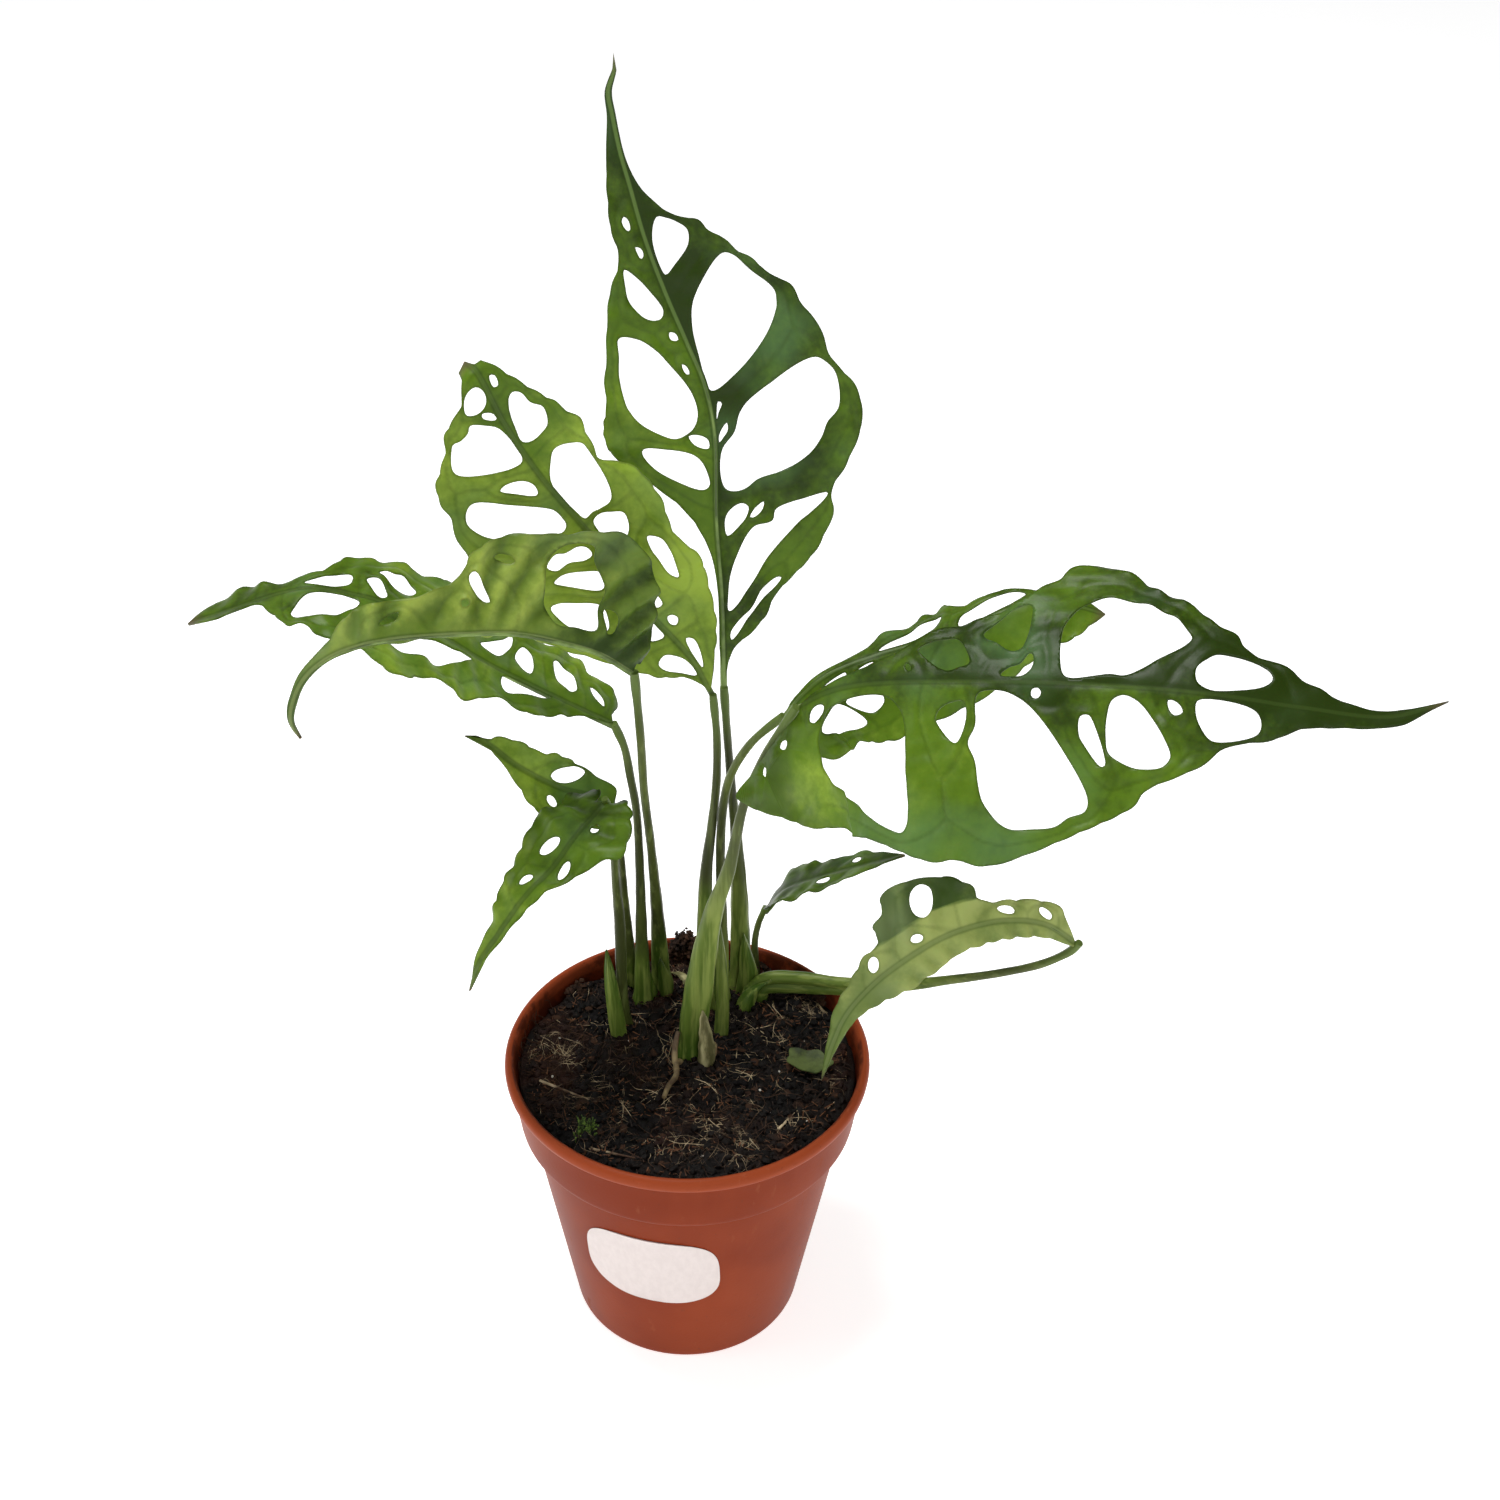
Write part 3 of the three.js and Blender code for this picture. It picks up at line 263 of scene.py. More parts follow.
# Inside, above the soil, the wall is stained by it: the part nearer the axis than the rim is.
level = terracotta.node("VectorMath", {0: spot, 1: (1, 1, 0)}, operation="MULTIPLY").outputs[0]
from_axis = terracotta.node("VectorMath", {0: level}, operation="LENGTH").outputs["Value"]
untapered = terracotta.sum(from_axis, terracotta.times(rise, INNER_LEAN), "SUBTRACT")
inner_wall = terracotta.span(untapered, 0.0448, 0.0456, 1, 0)
inner_top = terracotta.times(inner_wall, terracotta.span(rise, 0.085, 0.09))
soiled = terracotta.span(terracotta.grain(130, 5, seed=8), 0.42, 0.6, 0.3, 0.85)
terracotta.tint(terracotta.times(inner_top, soiled), "4a2013")
terracotta.feed("Roughness", terracotta.span(scuffs, 0, 1, 0.4, 0.62))
terracotta.relief(terracotta.grain(900, 3), 0.04)
make_piece("pot_shell", make_pot(), [terracotta], ["pot"])

# A blank adhesive label of thin coated paper, with well-rounded ends, is pressed round the front
# of the tapered body, a little to the left.
LABEL_TURN = math.radians(-103)
LABEL_HEIGHT = 51
LABEL_HALF = np.array([23, 17])
LABEL_CORNERS = 0.62
LABEL_THICK = 0.16
LABEL_PILLOW = 0.25
LABEL_POINTS = 96
GLUE = 0.12
GRID_GAP = 1.5


def join_faces(over, under, faces):
    """A closed sheet from its upper and lower points, which share one set of triangles."""
    count = len(over)
    edges = {(a, b) for f in faces for a, b in zip(f, np.roll(f, -1))}
    made = [tuple(f) for f in faces]
    made += [tuple(int(i) + count for i in f[::-1]) for f in faces]
    made += [(b, a, a + count, b + count) for a, b in sorted(edges) if (b, a) not in edges]
    return np.vstack([over, under]), made


def fill_inside(loop, reach, gap):
    """The flat loop, filled through an even grid of points to a reach on each side."""
    across, up = (np.arange(-r, r + gap / 15, gap) for r in reach)
    grid = np.array([(x, y) for x in across for y in up])
    return fill_flat([loop], grid[is_inside(grid, loop * 0.95)])


def make_label():
    """A rounded blank of paper, bent round the pot's body, its edges glued down."""
    rounded = [np.sign(c) * np.abs(c) ** LABEL_CORNERS for c in circle(1, LABEL_POINTS).T]
    loop = np.column_stack(rounded) * LABEL_HALF
    flat, faces = fill_inside(loop, (22, 16), GRID_GAP)
    rise = LABEL_HEIGHT + flat[:, 1]
    edge = np.clip((1 - np.max(np.abs(flat / LABEL_HALF), axis=1)) * 12, 0, 1)
    turn = LABEL_TURN + flat[:, 0] / body_radius(rise)
    layers = []
    for lift in (GLUE + LABEL_THICK, GLUE):
        reach = body_radius(rise) + lift + LABEL_PILLOW * (1 - edge) * (lift > GLUE)
        layers.append(np.column_stack([reach * np.cos(turn), reach * np.sin(turn), rise]))
    return join_faces(*layers, faces)


paper = Finish("label_paper", "ddd2ce", 0.5)
paper.coat("cfc3bf", paper.grain(500, 5, stretch=(1, 1, 0.5)), 0.3, 0.7, end=0.5)
paper.relief(paper.grain(60, 3), 0.12)
make_piece("label_sheet", make_label(), [paper], ["pot_label"])

# The soil is dark peat, filled to 5 mm under the rim and pressed down by watering. Its top is
# lumpy, a little higher round the stems and lower at the wall.
SOIL_TOP = 100
SOIL_EDGE = 55.4
SOIL_SEGMENTS = 260
SOIL_FLOOR = 1.8
SOIL_SUNK = 0.9
LUMP_WIDTH = 9
LUMP_RISE = 2.1
MOUND_MIDDLE = (2, 20)
MOUND_SPREAD = 700
MOUND_RISE = 1.3
DIP_START = 48
DIP_WIDTH = 7.4
DIP_DEPTH = 1.4


def on_soil(x, y, lift=0):
    """A place on the soil's uneven top, or at some lift over it."""
    lumps = noise.fractal(Vector((x / LUMP_WIDTH, y / LUMP_WIDTH, 3.1)), 0.8, 2.1, 6) * LUMP_RISE
    off = (x - MOUND_MIDDLE[0]) ** 2 + (y - MOUND_MIDDLE[1]) ** 2
    mound = MOUND_RISE * math.exp(-off / MOUND_SPREAD)
    dip = -DIP_DEPTH * max(0, (math.hypot(x, y) - DIP_START) / DIP_WIDTH) ** 2
    return x, y, SOIL_TOP - SOIL_SUNK + lumps + mound + dip + lift


def make_soil():
    """Rings of the lumpy top, then down the pot's wall to a flat underside."""
    top = np.concatenate([np.arange(0.7, 54, 0.75), [54.6, SOIL_EDGE]])
    points = [on_soil(0, 0)]
    for r in top:
        points += [on_soil(x, y) for x, y in circle(r, SOIL_SEGMENTS)]
    side = [(54, 83), (50.6, 81), (37.2, 3), (35.5, SOIL_FLOOR)]
    for r, z in side:
        points += [(x, y, z) for x, y in circle(r, SOIL_SEGMENTS)]
    rows = len(top) + len(side)
    last = 1 + (rows - 1) * SOIL_SEGMENTS
    around = [(j, (j + 1) % SOIL_SEGMENTS) for j in range(SOIL_SEGMENTS)]
    faces = [(0, 1 + j, 1 + k) for j, k in around]
    faces += [(a, d, c, b) for a, b, c, d in quads(rows, SOIL_SEGMENTS, 1)]
    faces += [(last + k, last + j, len(points)) for j, k in around]
    return [*points, (0, 0, SOIL_FLOOR)], faces


peat = Finish("peat", "060302", 0.65, specular_ior_level=0.25)
peat.coat("170d08", peat.grain(45, 5), 0.4, 0.66)
peat.coat("36190c", peat.grain(28, 3, seed=2), 0.52, 0.68, end=0.75)
peat.coat("5a3f28", peat.grain(900, 4, seed=6), 0.66, 0.74, end=0.5)
peat.relief(peat.grain(1400, 6), 0.5)
make_piece("soil_bed", make_soil(), [peat], ["soil"], crease=180)

# Crumbs of peat lie loose all over the soil. Clods were left heaped against the back of the rim
# when the pot was filled, and chips of composted bark lie among the crumbs.
CRUMB_SIZES = [0.3, 0.4, 0.5, 0.6, 0.7, 1.0, 1.5]
CRUMBS = 4200
CHIPS = 260
CHIP_FLATNESS = 0.36
CLOD_HEAPS = [
    ((-3, 53), 7, 11, 620), ((45, 34), 5, 7, 300), ((-40, 34), 5, 2, 120), ((22, 50), 6, 3, 160),
]
dice = random.Random(11)


def crumb(centre, size, flatness=0.8, finer=1):
    """One rough lump: an eight-sided ball, cut finer, whose corners are pushed in and out."""
    tips = [(1, 0, 0), (-1, 0, 0), (0, 1, 0), (0, -1, 0), (0, 0, 1), (0, 0, -1)]
    corners = [Vector(tip) for tip in tips]
    faces = [(0, 2, 4), (2, 1, 4), (1, 3, 4), (3, 0, 4), (2, 0, 5), (1, 2, 5), (3, 1, 5), (0, 3, 5)]
    for _ in range(finer):
        middles = {}
        smaller = []
        for a, b, c in faces:
            cut = []
            for pair in ((a, b), (b, c), (c, a)):
                key = tuple(sorted(pair))
                if key not in middles:
                    middles[key] = len(corners)
                    corners.append((corners[pair[0]] + corners[pair[1]]).normalized())
                cut.append(middles[key])
            smaller += [(a, cut[0], cut[2]), (b, cut[1], cut[0]), (c, cut[2], cut[1]), tuple(cut)]
        faces = smaller
    turn = Matrix.Rotation(dice.uniform(0, 6.28), 3, "Z")
    turn = turn @ Matrix.Rotation(dice.uniform(-0.5, 0.5), 3, "X")
    stretch = Vector((dice.uniform(0.7, 1.3), dice.uniform(0.6, 1.1), flatness))
    points = [turn @ (corner * (size * dice.uniform(0.72, 1.18)) * stretch) for corner in corners]
    return [tuple(p + Vector(centre)) for p in points], faces


def scatter(count, reach):
    """Evenly random places on the soil."""
    for _ in range(count):
        r = reach * math.sqrt(dice.random())
        a = dice.uniform(0, 2 * math.pi)
        yield r * math.cos(a), r * math.sin(a)


def gather(parts):
    """One list of points and one of faces from several."""
    points = []
    faces = []
    for some, shape in parts:
        faces += [tuple(i + len(points) for i in f) for f in shape]
        points += list(some)
    return points, faces


bark_bits = Finish("bark_bits", "1a0f09", 0.85, specular_ior_level=0.3)
bark_bits.coat("402818", bark_bits.grain(160, 2, seed=9))
bark_bits.relief(bark_bits.grain(2200, 4), 0.3)
crumbs = [
    crumb(on_soil(x, y, 0.45 * size), size, finer=int(size > 0.8))
    for x, y in scatter(CRUMBS, 53.5)
    for size in [dice.choice(CRUMB_SIZES)]
]
make_piece("soil_crumbs", gather(crumbs), [peat], crease=40)
clods = []
for (middle_x, middle_y), wide, tall, count in CLOD_HEAPS:
    for _ in range(count):
        x, y = middle_x + dice.gauss(0, wide * 0.45), middle_y + dice.gauss(0, 1.8)
        rise = tall * dice.random() * math.exp(-(((x - middle_x) / wide) ** 2))
        pull = min(1, (54 if rise < 5 else 56.5) / math.hypot(x, y))
        place = (x * pull, y * pull, SOIL_TOP + rise)
        clods.append(crumb(place, dice.uniform(0.4, 1.2), finer=0))
make_piece("wall_clods", gather(clods), [bark_bits], crease=40)
chips = [
    crumb(on_soil(x, y, 0.5), dice.uniform(0.5, 1.9), CHIP_FLATNESS) for x, y in scatter(CHIPS, 51)
]
make_piece("bark_chips", gather(chips), [bark_bits], crease=35)

# Tan plant fibres come out of the peat, and fine pale roots of the plant lie in loose tangles.
# Darker roots climb the left of the pot's inner wall, and bits of straw lie at the front.
FIBRES = 520
TANGLES = [
    ((14, -38), 8, 70), ((-40, 4), 8, 70), ((-30, -20), 9, 60),
    ((44, 30), 4, 60), ((-3, 50), 5, 50),
]
FIBRE_RADII = [0.04, 0.06, 0.08, 0.12]
FIBRE_REACH = 53
WALL_ROOTS = 34
SOIL_AT_WALL = 99.6
STRAWS = [(-29.3, -39.4, -14.7, -45.5), (-47.7, -12, -30.8, -19.3), (30, -30, 36, -22)]


def share_out(values, share):
    """Even change from the first value at the base, over the middle ones, to the tip's."""
    return np.interp(share, np.linspace(0, 1, len(values)), values)


def along(rows, far, spots):
    """Rows of numbers that belong to places along a line, read at other places along it."""
    return np.column_stack([np.interp(spots, far, column) for column in np.asarray(rows).T])


def walked(line):
    """How far along a line each of its points lies."""
    return np.concatenate([[0], np.cumsum(np.linalg.norm(np.diff(line, axis=0), axis=1))])


def smooth_line(knots, steps=24, closed=False):
    """Points along a smooth curve through the knots, and how far along it each one lies."""
    knots = np.array(knots, float)
    ends = [2 * knots[0] - knots[1], *knots, 2 * knots[-1] - knots[-2]]
    if closed:
        ends = [knots[-1], *knots, knots[0], knots[1]]
    line = []
    for p0, p1, p2, p3 in zip(ends, ends[1:], ends[2:], ends[3:]):
        pairs = ((p0, p1), (p1, p2), (p2, p3))
        d0, d1, d2 = (max(math.dist(a, b) ** 0.5, 1e-3) for a, b in pairs)
        m1 = d1 * ((p1 - p0) / d0 - (p2 - p0) / (d0 + d1) + (p2 - p1) / d1)
        m2 = d1 * ((p2 - p1) / d1 - (p3 - p1) / (d1 + d2) + (p3 - p2) / d2)
        t = np.linspace(0, 1, steps, endpoint=False)[:, None]
        square = 3 * p2 - 3 * p1 - 2 * m1 - m2
        cube = 2 * p1 - 2 * p2 + m1 + m2
        line.append(p1 + m1 * t + square * t**2 + cube * t**3)
    line = np.vstack(line if closed else [*line, knots[-1:]])
    return line, walked(line)


def even_line(knots, gap, closed=False):
    """The smooth line again, with its points an even gap apart."""
    line, far = smooth_line(knots, 24, closed)
    if closed:
        line = np.vstack([line, line[:1]])
        far = np.append(far, far[-1] + math.dist(line[-1], line[-2]))
    spots = np.linspace(0, far[-1], max(int(round(far[-1] / gap)), 6) + 1)
    return along(line, far, spots[:-1] if closed else spots)


def tube(line, radii, sides, shape=None):
    """Closed tube along a line of points; shape, if given, scales the radius by turn and share."""
    line = np.asarray(line, float)
    ahead = np.gradient(line, axis=0)
    ahead /= np.linalg.norm(ahead, axis=1)[:, None]
    side = np.cross(ahead[0], (0, 0, 1) if abs(ahead[0][2]) < 0.9 else (0, 1, 0))
    side /= np.linalg.norm(side)
    radii = share_out(radii, np.linspace(0, 1, len(line)))
    turn = turns(sides)
    rings = []
    for i, spot in enumerate(line):
        side = side - ahead[i] * np.dot(side, ahead[i])
        side /= np.linalg.norm(side)
        other = np.cross(ahead[i], side)
        reach = np.full(sides, radii[i])
        if shape:
            reach = reach * shape(turn, i / (len(line) - 1))
        round_it = np.outer(reach * np.cos(turn), side), np.outer(reach * np.sin(turn), other)
        rings.append(spot + round_it[0] + round_it[1])
    last = (len(line) - 1) * sides
    caps = [tuple(range(sides))[::-1], tuple(range(last, last + sides))]
    return np.vstack(rings), quads(len(line), sides) + caps


def make_fibres(places, thinness):
    """Thin bent fibres that lie on the soil, some with an end in the air."""
    parts = []
    for x, y in places:
        length = dice.uniform(2.5, 8) if dice.random() < 0.55 else dice.uniform(8, 20)
        a = dice.uniform(0, 2 * math.pi)
        bow = dice.uniform(-0.9, 0.9)
        knots = []
        for s in (-0.5, -0.28, 0, 0.24, 0.5):
            px = x + length * (s * math.cos(a) - bow * (0.25 - s * s) * math.sin(a))
            py = y + length * (s * math.sin(a) + bow * (0.25 - s * s) * math.cos(a))
            px, py = px + dice.gauss(0, length / 22), py + dice.gauss(0, length / 22)
            shrink = min(1, FIBRE_REACH / max(math.hypot(px, py), 1))
            px, py = px * shrink, py * shrink
            knots.append(on_soil(px, py, dice.uniform(0.1, 1.7)))
        thick = dice.choice(FIBRE_RADII) * thinness
        parts.append(tube(even_line(knots, 1.1), [thick, thick * 0.5], 5))
    return gather(parts)


fibre_finish = Finish("peat_fibre", "4a3220", 0.8)
fibre_finish.coat("dcc59f", fibre_finish.grain(90, 2, seed=3), 0.47, 0.64)
fibres = make_fibres(scatter(FIBRES, 50), 1)
make_piece("peat_fibres", fibres, [fibre_finish], crease=180)
hairs = [
    (x + dice.gauss(0, wide), y + dice.gauss(0, wide * 0.7))
    for (x, y), wide, count in TANGLES
    for _ in range(count)
]
make_piece("root_hairs", make_fibres(hairs, 0.75), [fibre_finish], crease=180)
strands = []
for _ in range(WALL_ROOTS):
    turn = math.radians(dice.uniform(150, 212))
    reaches = (dice.uniform(45, 51), 53.4, 55, 55.5)
    rises = (0.6, 1, dice.uniform(1.6, 3), dice.uniform(3, 4.4))
    knots = []
    for reach, rise in zip(reaches, rises):
        turn += dice.uniform(-0.05, 0.05)
        x, y = reach * math.cos(turn), reach * math.sin(turn)
        knots.append(on_soil(x, y, rise) if reach < FIBRE_REACH else (x, y, SOIL_AT_WALL + rise))
    strands.append(tube(even_line(knots, 1), [dice.uniform(0.1, 0.24), 0.07], 5))
make_piece("wall_roots", gather(strands), [bark_bits], crease=180)
straws = [
    tube(even_line([on_soil(x0, y0, 0.6), on_soil(x1, y1, 1.1)], 2), [0.5, 0.3], 7)
    for x0, y0, x1, y1 in STRAWS
]
make_piece("straw_bits", gather(straws), [fibre_finish], crease=60)

# Small pale specks show here and there between the crumbs of peat: painted glints of the wet
# soil, made as tiny white grains.
GLINT_SPECKS = 34
painted_glints = Finish("painted_glints", "bdb4a5", 0.85)
painted_glints.coat("e9e5dc", painted_glints.grain(1500, 3), 0.4, 0.6)
glint_grains = [crumb(on_soil(x, y, 0.3), dice.uniform(0.2, 0.5)) for x, y in scatter(GLINT_SPECKS, 51)]
make_piece("glint_specks", gather(glint_grains), [painted_glints], crease=35)

# A tuft of moss grows on the soil at the front left: short pointed shoots, each with three small
# leaves.
MOSS_SPOT = (-31, -33)
MOSS_SHOOTS = 75


def make_moss():
    """Shoots that lean out from the middle of the tuft."""
    parts = []
    for _ in range(MOSS_SHOOTS):
        x = MOSS_SPOT[0] + dice.gauss(0, 1.5)
        y = MOSS_SPOT[1] + dice.gauss(0, 1.7)
        foot, z = on_soil(x, y, -0.3), on_soil(x, y)[2]
        lean = (dice.uniform(-1.4, 1.4), dice.uniform(-1.4, 1.4))
        tall = dice.uniform(1.2, 3.2)
        bow = (x + lean[0] * 0.3, y + lean[1] * 0.3, z + tall * 0.5)
        tip = (x + lean[0], y + lean[1], z + tall)
        parts.append(tube(even_line([foot, bow, tip], 0.8), [0.16, 0.22, 0.05], 5))
        for share in (0.35, 0.6, 0.85):
            parts.append(crumb([a + (b - a) * share for a, b in zip(foot, tip)], 0.42, 0.4, 0))
    return gather(parts)


moss_finish = Finish("moss", "2c4310", 0.7)
moss_finish.coat("6d8a34", moss_finish.grain(700, 2), 0.4, 0.6)
make_piece("moss_tuft", make_moss(), [moss_finish], crease=180)

# Short shreds of composted bark lie loose over everything else on the soil, like coarse brown
# threads.
SHREDS = 1300
shreds = []
for x, y in scatter(SHREDS, 53):
    turn, half = dice.uniform(0, 2 * math.pi), dice.uniform(0.5, 1.7)
    dx, dy = half * math.cos(turn), half * math.sin(turn)
    height = on_soil(x, y)[2]
    ends = [(x + s * dx, y + s * dy, height + dice.uniform(0.3, 1.4)) for s in (-1, 1)]
    shreds.append(tube(ends, [dice.uniform(0.12, 0.3), 0.1], 5))
bark_shred = Finish("bark_shreds", "1f120a", 0.75)
bark_shred.coat("71492c", bark_shred.grain(70, 2, seed=4), 0.42, 0.62)
make_piece("bark_shreds", gather(shreds), [bark_shred], crease=60)

# The leaf blades are thin, soft and glossy, and full of oval holes with side veins between them.
# Ten blades of different ages grow at the tips of their stalks, each with its own folds and curl,
# and each stiffened underneath by a rounded midrib.
MESH_GAP = 0.9
ROW_GAP = 0.783
HOLE_GAP = 0.8
CLEAR_OF_EDGE = 0.4
RIB_GAP = 0.96
FAR_FROM_VEIN = 9
SOFT_FOLD = 2.5
CRINKLE = 0.08
LOBE = 7.5
VEIN_DIP, VEIN_WIDTH = 0.3, 0.8
RIB_DIP, RIB_WIDTH = 0.35, 1.3
RUFFLE, RUFFLE_REACH = 0.55, 2.5
BLISTER, FINE_BLISTER = 1.1, 0.16
EDGE_THICK, BLADE_THICK, RIB_THICK = 0.3, 0.5, 0.5
SKIN_LIFT = 0.2
MIDRIB_RADIUS = 1.1


def turned(x, y, a):
    """Flat places turned to the left by an angle."""
    return x * math.cos(a) - y * math.sin(a), x * math.sin(a) + y * math.cos(a)


def oval(u, v, length, width, turn):
    """Outline of an oval hole: place along and across the midrib, length, width and turn."""
    x, y = (circle(1, 8) * [length / 2, width / 2]).T
    return np.column_stack(turned(x, y, math.radians(turn))) + [u, v]


def lay(leaf, flat):
    """Where flat places, along the midrib and to its right, lie on the plant, with the way up."""
    line, far = smooth_line(leaf["rib"], 40)
    u, v = np.asarray(flat, float).T
    spot = np.clip(u, 0, far[-1])
    share = spot / far[-1]
    ahead = along(np.gradient(line, far, axis=0), far, spot)
    ahead /= np.linalg.norm(ahead, axis=1)[:, None]
    place = along(line, far, spot) + ahead * (u - spot)[:, None]
    up = along(leaf["face"], [0, 0.5, 1], share)
    up -= ahead * np.sum(up * ahead, axis=1)[:, None]
    up /= np.linalg.norm(up, axis=1)[:, None]
    out = np.cross(ahead, up)
    sign = np.where(v < 0, -1, 1)
    start, rate = (
        np.radians(np.where(v < 0, *(share_out(side, share) for side in leaf[key])))
        for key in ("fold", "bend")
    )
    rate = np.where(np.abs(rate) < 1e-5, 1e-5, rate) / 10
    away = np.abs(v)
    turn = start + rate * away
    place += out * (sign * (np.sin(turn) - np.sin(start)) / rate)[:, None]
    place += up * ((np.cos(start) - np.cos(turn)) / rate)[:, None]
    turn = turn * np.clip(away / SOFT_FOLD, 0, 1)
    normal = up * np.cos(turn)[:, None] - out * (sign * np.sin(turn))[:, None]
    wave = CRINKLE * np.minimum(away / 12, 1.5) * np.sin(u / 4.5 + v)
    return place + normal * wave[:, None], normal


def vein_distance(spots, loops):
    """How far flat spots are from the line midway between their nearest loops, and from a loop."""
    gaps = [np.linalg.norm(spots[:, None] - loop[None], axis=2).min(axis=1) for loop in loops]
    nearest = np.sort(gaps, axis=0)
    return (nearest[1] - nearest[0]) / 2, nearest[0]


def frilled(edge, depth, length):
    """The margin again, with small rounded lobes of that depth, which fade out at its two ends."""
    slope = np.gradient(edge, axis=0)
    slope /= np.linalg.norm(slope, axis=1)[:, None] + 1e-9
    far = walked(edge)
    lobes = np.abs(np.sin((far + 2.5 * np.sin(far / 9 + length)) * math.pi / LOBE)) - 0.6
    fade = np.clip(np.minimum(edge[:, 1] - 2.2, 4) / 4, 0, 1)
    return edge + np.column_stack([-slope[:, 1], slope[:, 0]]) * (depth * lobes * fade)[:, None]


def half_blade(leaf, side, length):
    """One half of a blade laid flat: its points, how far they are from veins and rim, and faces."""
    edge = even_line(leaf[side], MESH_GAP)
    narrow = np.clip((length + 1.5 - edge[:, 0]) / 14, 0.3, 1)
    edge[:, 1] = np.maximum(edge[:, 1], RIB_GAP) * np.where(edge[:, 1] < 3, narrow, 1)
    edge = frilled(edge, leaf["frill"], length)
    holes = [even_line(hole, HOLE_GAP, closed=True) for hole in leaf[side + "_holes"]]
    holes = [np.maximum(hole, [-math.inf, RIB_GAP]) for hole in holes]
    steps = int(length / MESH_GAP) + 1
    spine = np.column_stack([np.linspace(length, 0, steps), np.zeros(steps)])
    ring = np.vstack([spine, edge])
    rows = np.arange(0.5, edge[:, 1].max() + 1, ROW_GAP)
    columns = np.arange(0.5, length, MESH_GAP)
    grid = np.array([(u + (i % 2) * MESH_GAP / 2, v) for i, v in enumerate(rows) for u in columns])
    grid = grid[is_inside(grid, ring, *holes)]
    grid = grid[vein_distance(grid, [edge, *holes, spine])[1] > CLEAR_OF_EDGE]
    flat, faces = fill_flat([ring, *holes], grid)
    vein = margin = np.full(len(flat), FAR_FROM_VEIN)
    if holes:
        vein, margin = vein_distance(flat, [edge, *holes])
    flat = np.column_stack([flat, np.minimum(vein, FAR_FROM_VEIN), margin])
    return (flat, faces) if side == "right" else (flat * [1, -1, 1, 1], faces[:, ::-1])


def both_sides(numbers):
    """Stored numbers for a closed sheet, the same on its upper and lower points."""
    return {name: np.vstack([values, values]) for name, values in numbers.items()}


def make_blade(leaf):
    """A closed blade: thin at its edges, sunken along the veins, with a crinkled margin."""
    length = smooth_line(leaf["rib"], 40)[1][-1]
    halves = [half_blade(leaf, side, length) for side in ("left", "right")]
    flat = np.vstack([spots for spots, _ in halves])
    faces = np.vstack([halves[0][1], halves[1][1] + len(halves[0][0])])
    first = {}
    same = np.arange(len(flat))
    for i in np.flatnonzero(np.abs(flat[:, 1]) < 1e-4):
        same[i] = first.setdefault(round(flat[i, 0], 3), i)
    used, back = np.unique(same, return_inverse=True)
    faces = back[faces]
    u, v, vein, margin = flat[used].T
    away = np.abs(v)
    place, normal = lay(leaf, np.column_stack([u, v]))
    sunk = VEIN_DIP * np.exp(-((vein / VEIN_WIDTH) ** 2)) * np.clip(away / 4, 0, 1)
    groove = RIB_DIP * np.exp(-((away / RIB_WIDTH) ** 2))
    wander = u * 0.45 + v * 0.2 + 2 * np.sin(u * 0.13 + length)
    ruffle = RUFFLE * np.exp(-margin / RUFFLE_REACH) * np.sin(wander) * np.clip(away / 8, 0, 1)
    broad, small = (
        np.array([noise.noise(Vector((x / long, y / wide, length))) for x, y in zip(u, v)])
        for long, wide in ((13, 9), (4, 3))
    )
    blister = broad * BLISTER * np.clip(away / 9, 0, 1)
    blister = blister + small * FINE_BLISTER * np.clip(away / 5, 0, 1)
    place = place + normal * (ruffle + blister - sunk - groove)[:, None]
    pleats = leaf["pleat"] * np.sin(0.62 * (u + 0.5 * away) + 1.6 * np.sin(u / 6 + length))
    place = place + normal * (pleats * np.clip(away / 7, 0, 1))[:, None]
    thick = np.interp(np.minimum(margin, away + 0.5), [0, 1.2], [EDGE_THICK, BLADE_THICK])
    thick += RIB_THICK * np.exp(-((away / MIDRIB_RADIUS) ** 2))
    over = place + normal * SKIN_LIFT
    points, made = join_faces(over, place + normal * (SKIN_LIFT - thick)[:, None], faces)
    share = np.clip(u / length, 0, 1)
    # Each half's tone, from base to tip, holds the leaf's own green together with painted light and
    # shade: parts that face the light or are lit through are painted lighter, shaded parts darker.
    tone = np.where(v < 0, *(share_out(side, share) for side in leaf["tone"]))
    # Painted shade near the midrib, turning to painted light towards the margins.
    tone = tone + np.clip(0.008 * away - 0.08, -0.08, 0.1)
    # Painted light on the crests of the pleats and painted shade in their hollows.
    tone = tone + 0.09 * pleats * np.clip(away / 5, 0, 1)
    # Past the crease line the blade is painted darker: painted shade.
    if "turned" in leaf:
        crease_shade, line_u, line_v = leaf["turned"]
        tone = tone - crease_shade * np.clip((v - np.interp(u, line_u, line_v)) / 0.7, 0, 1)
    numbers = {
        "leaf_place": np.column_stack([share, np.full(len(u), leaf["pale_rib"]), tone]),
        "leaf_vein": np.column_stack([away, vein, margin]),
    }
    kinds = [0] * len(faces) + [1] * len(faces) + [0] * (len(made) - 2 * len(faces))
    return (points, made, both_sides(numbers)), kinds


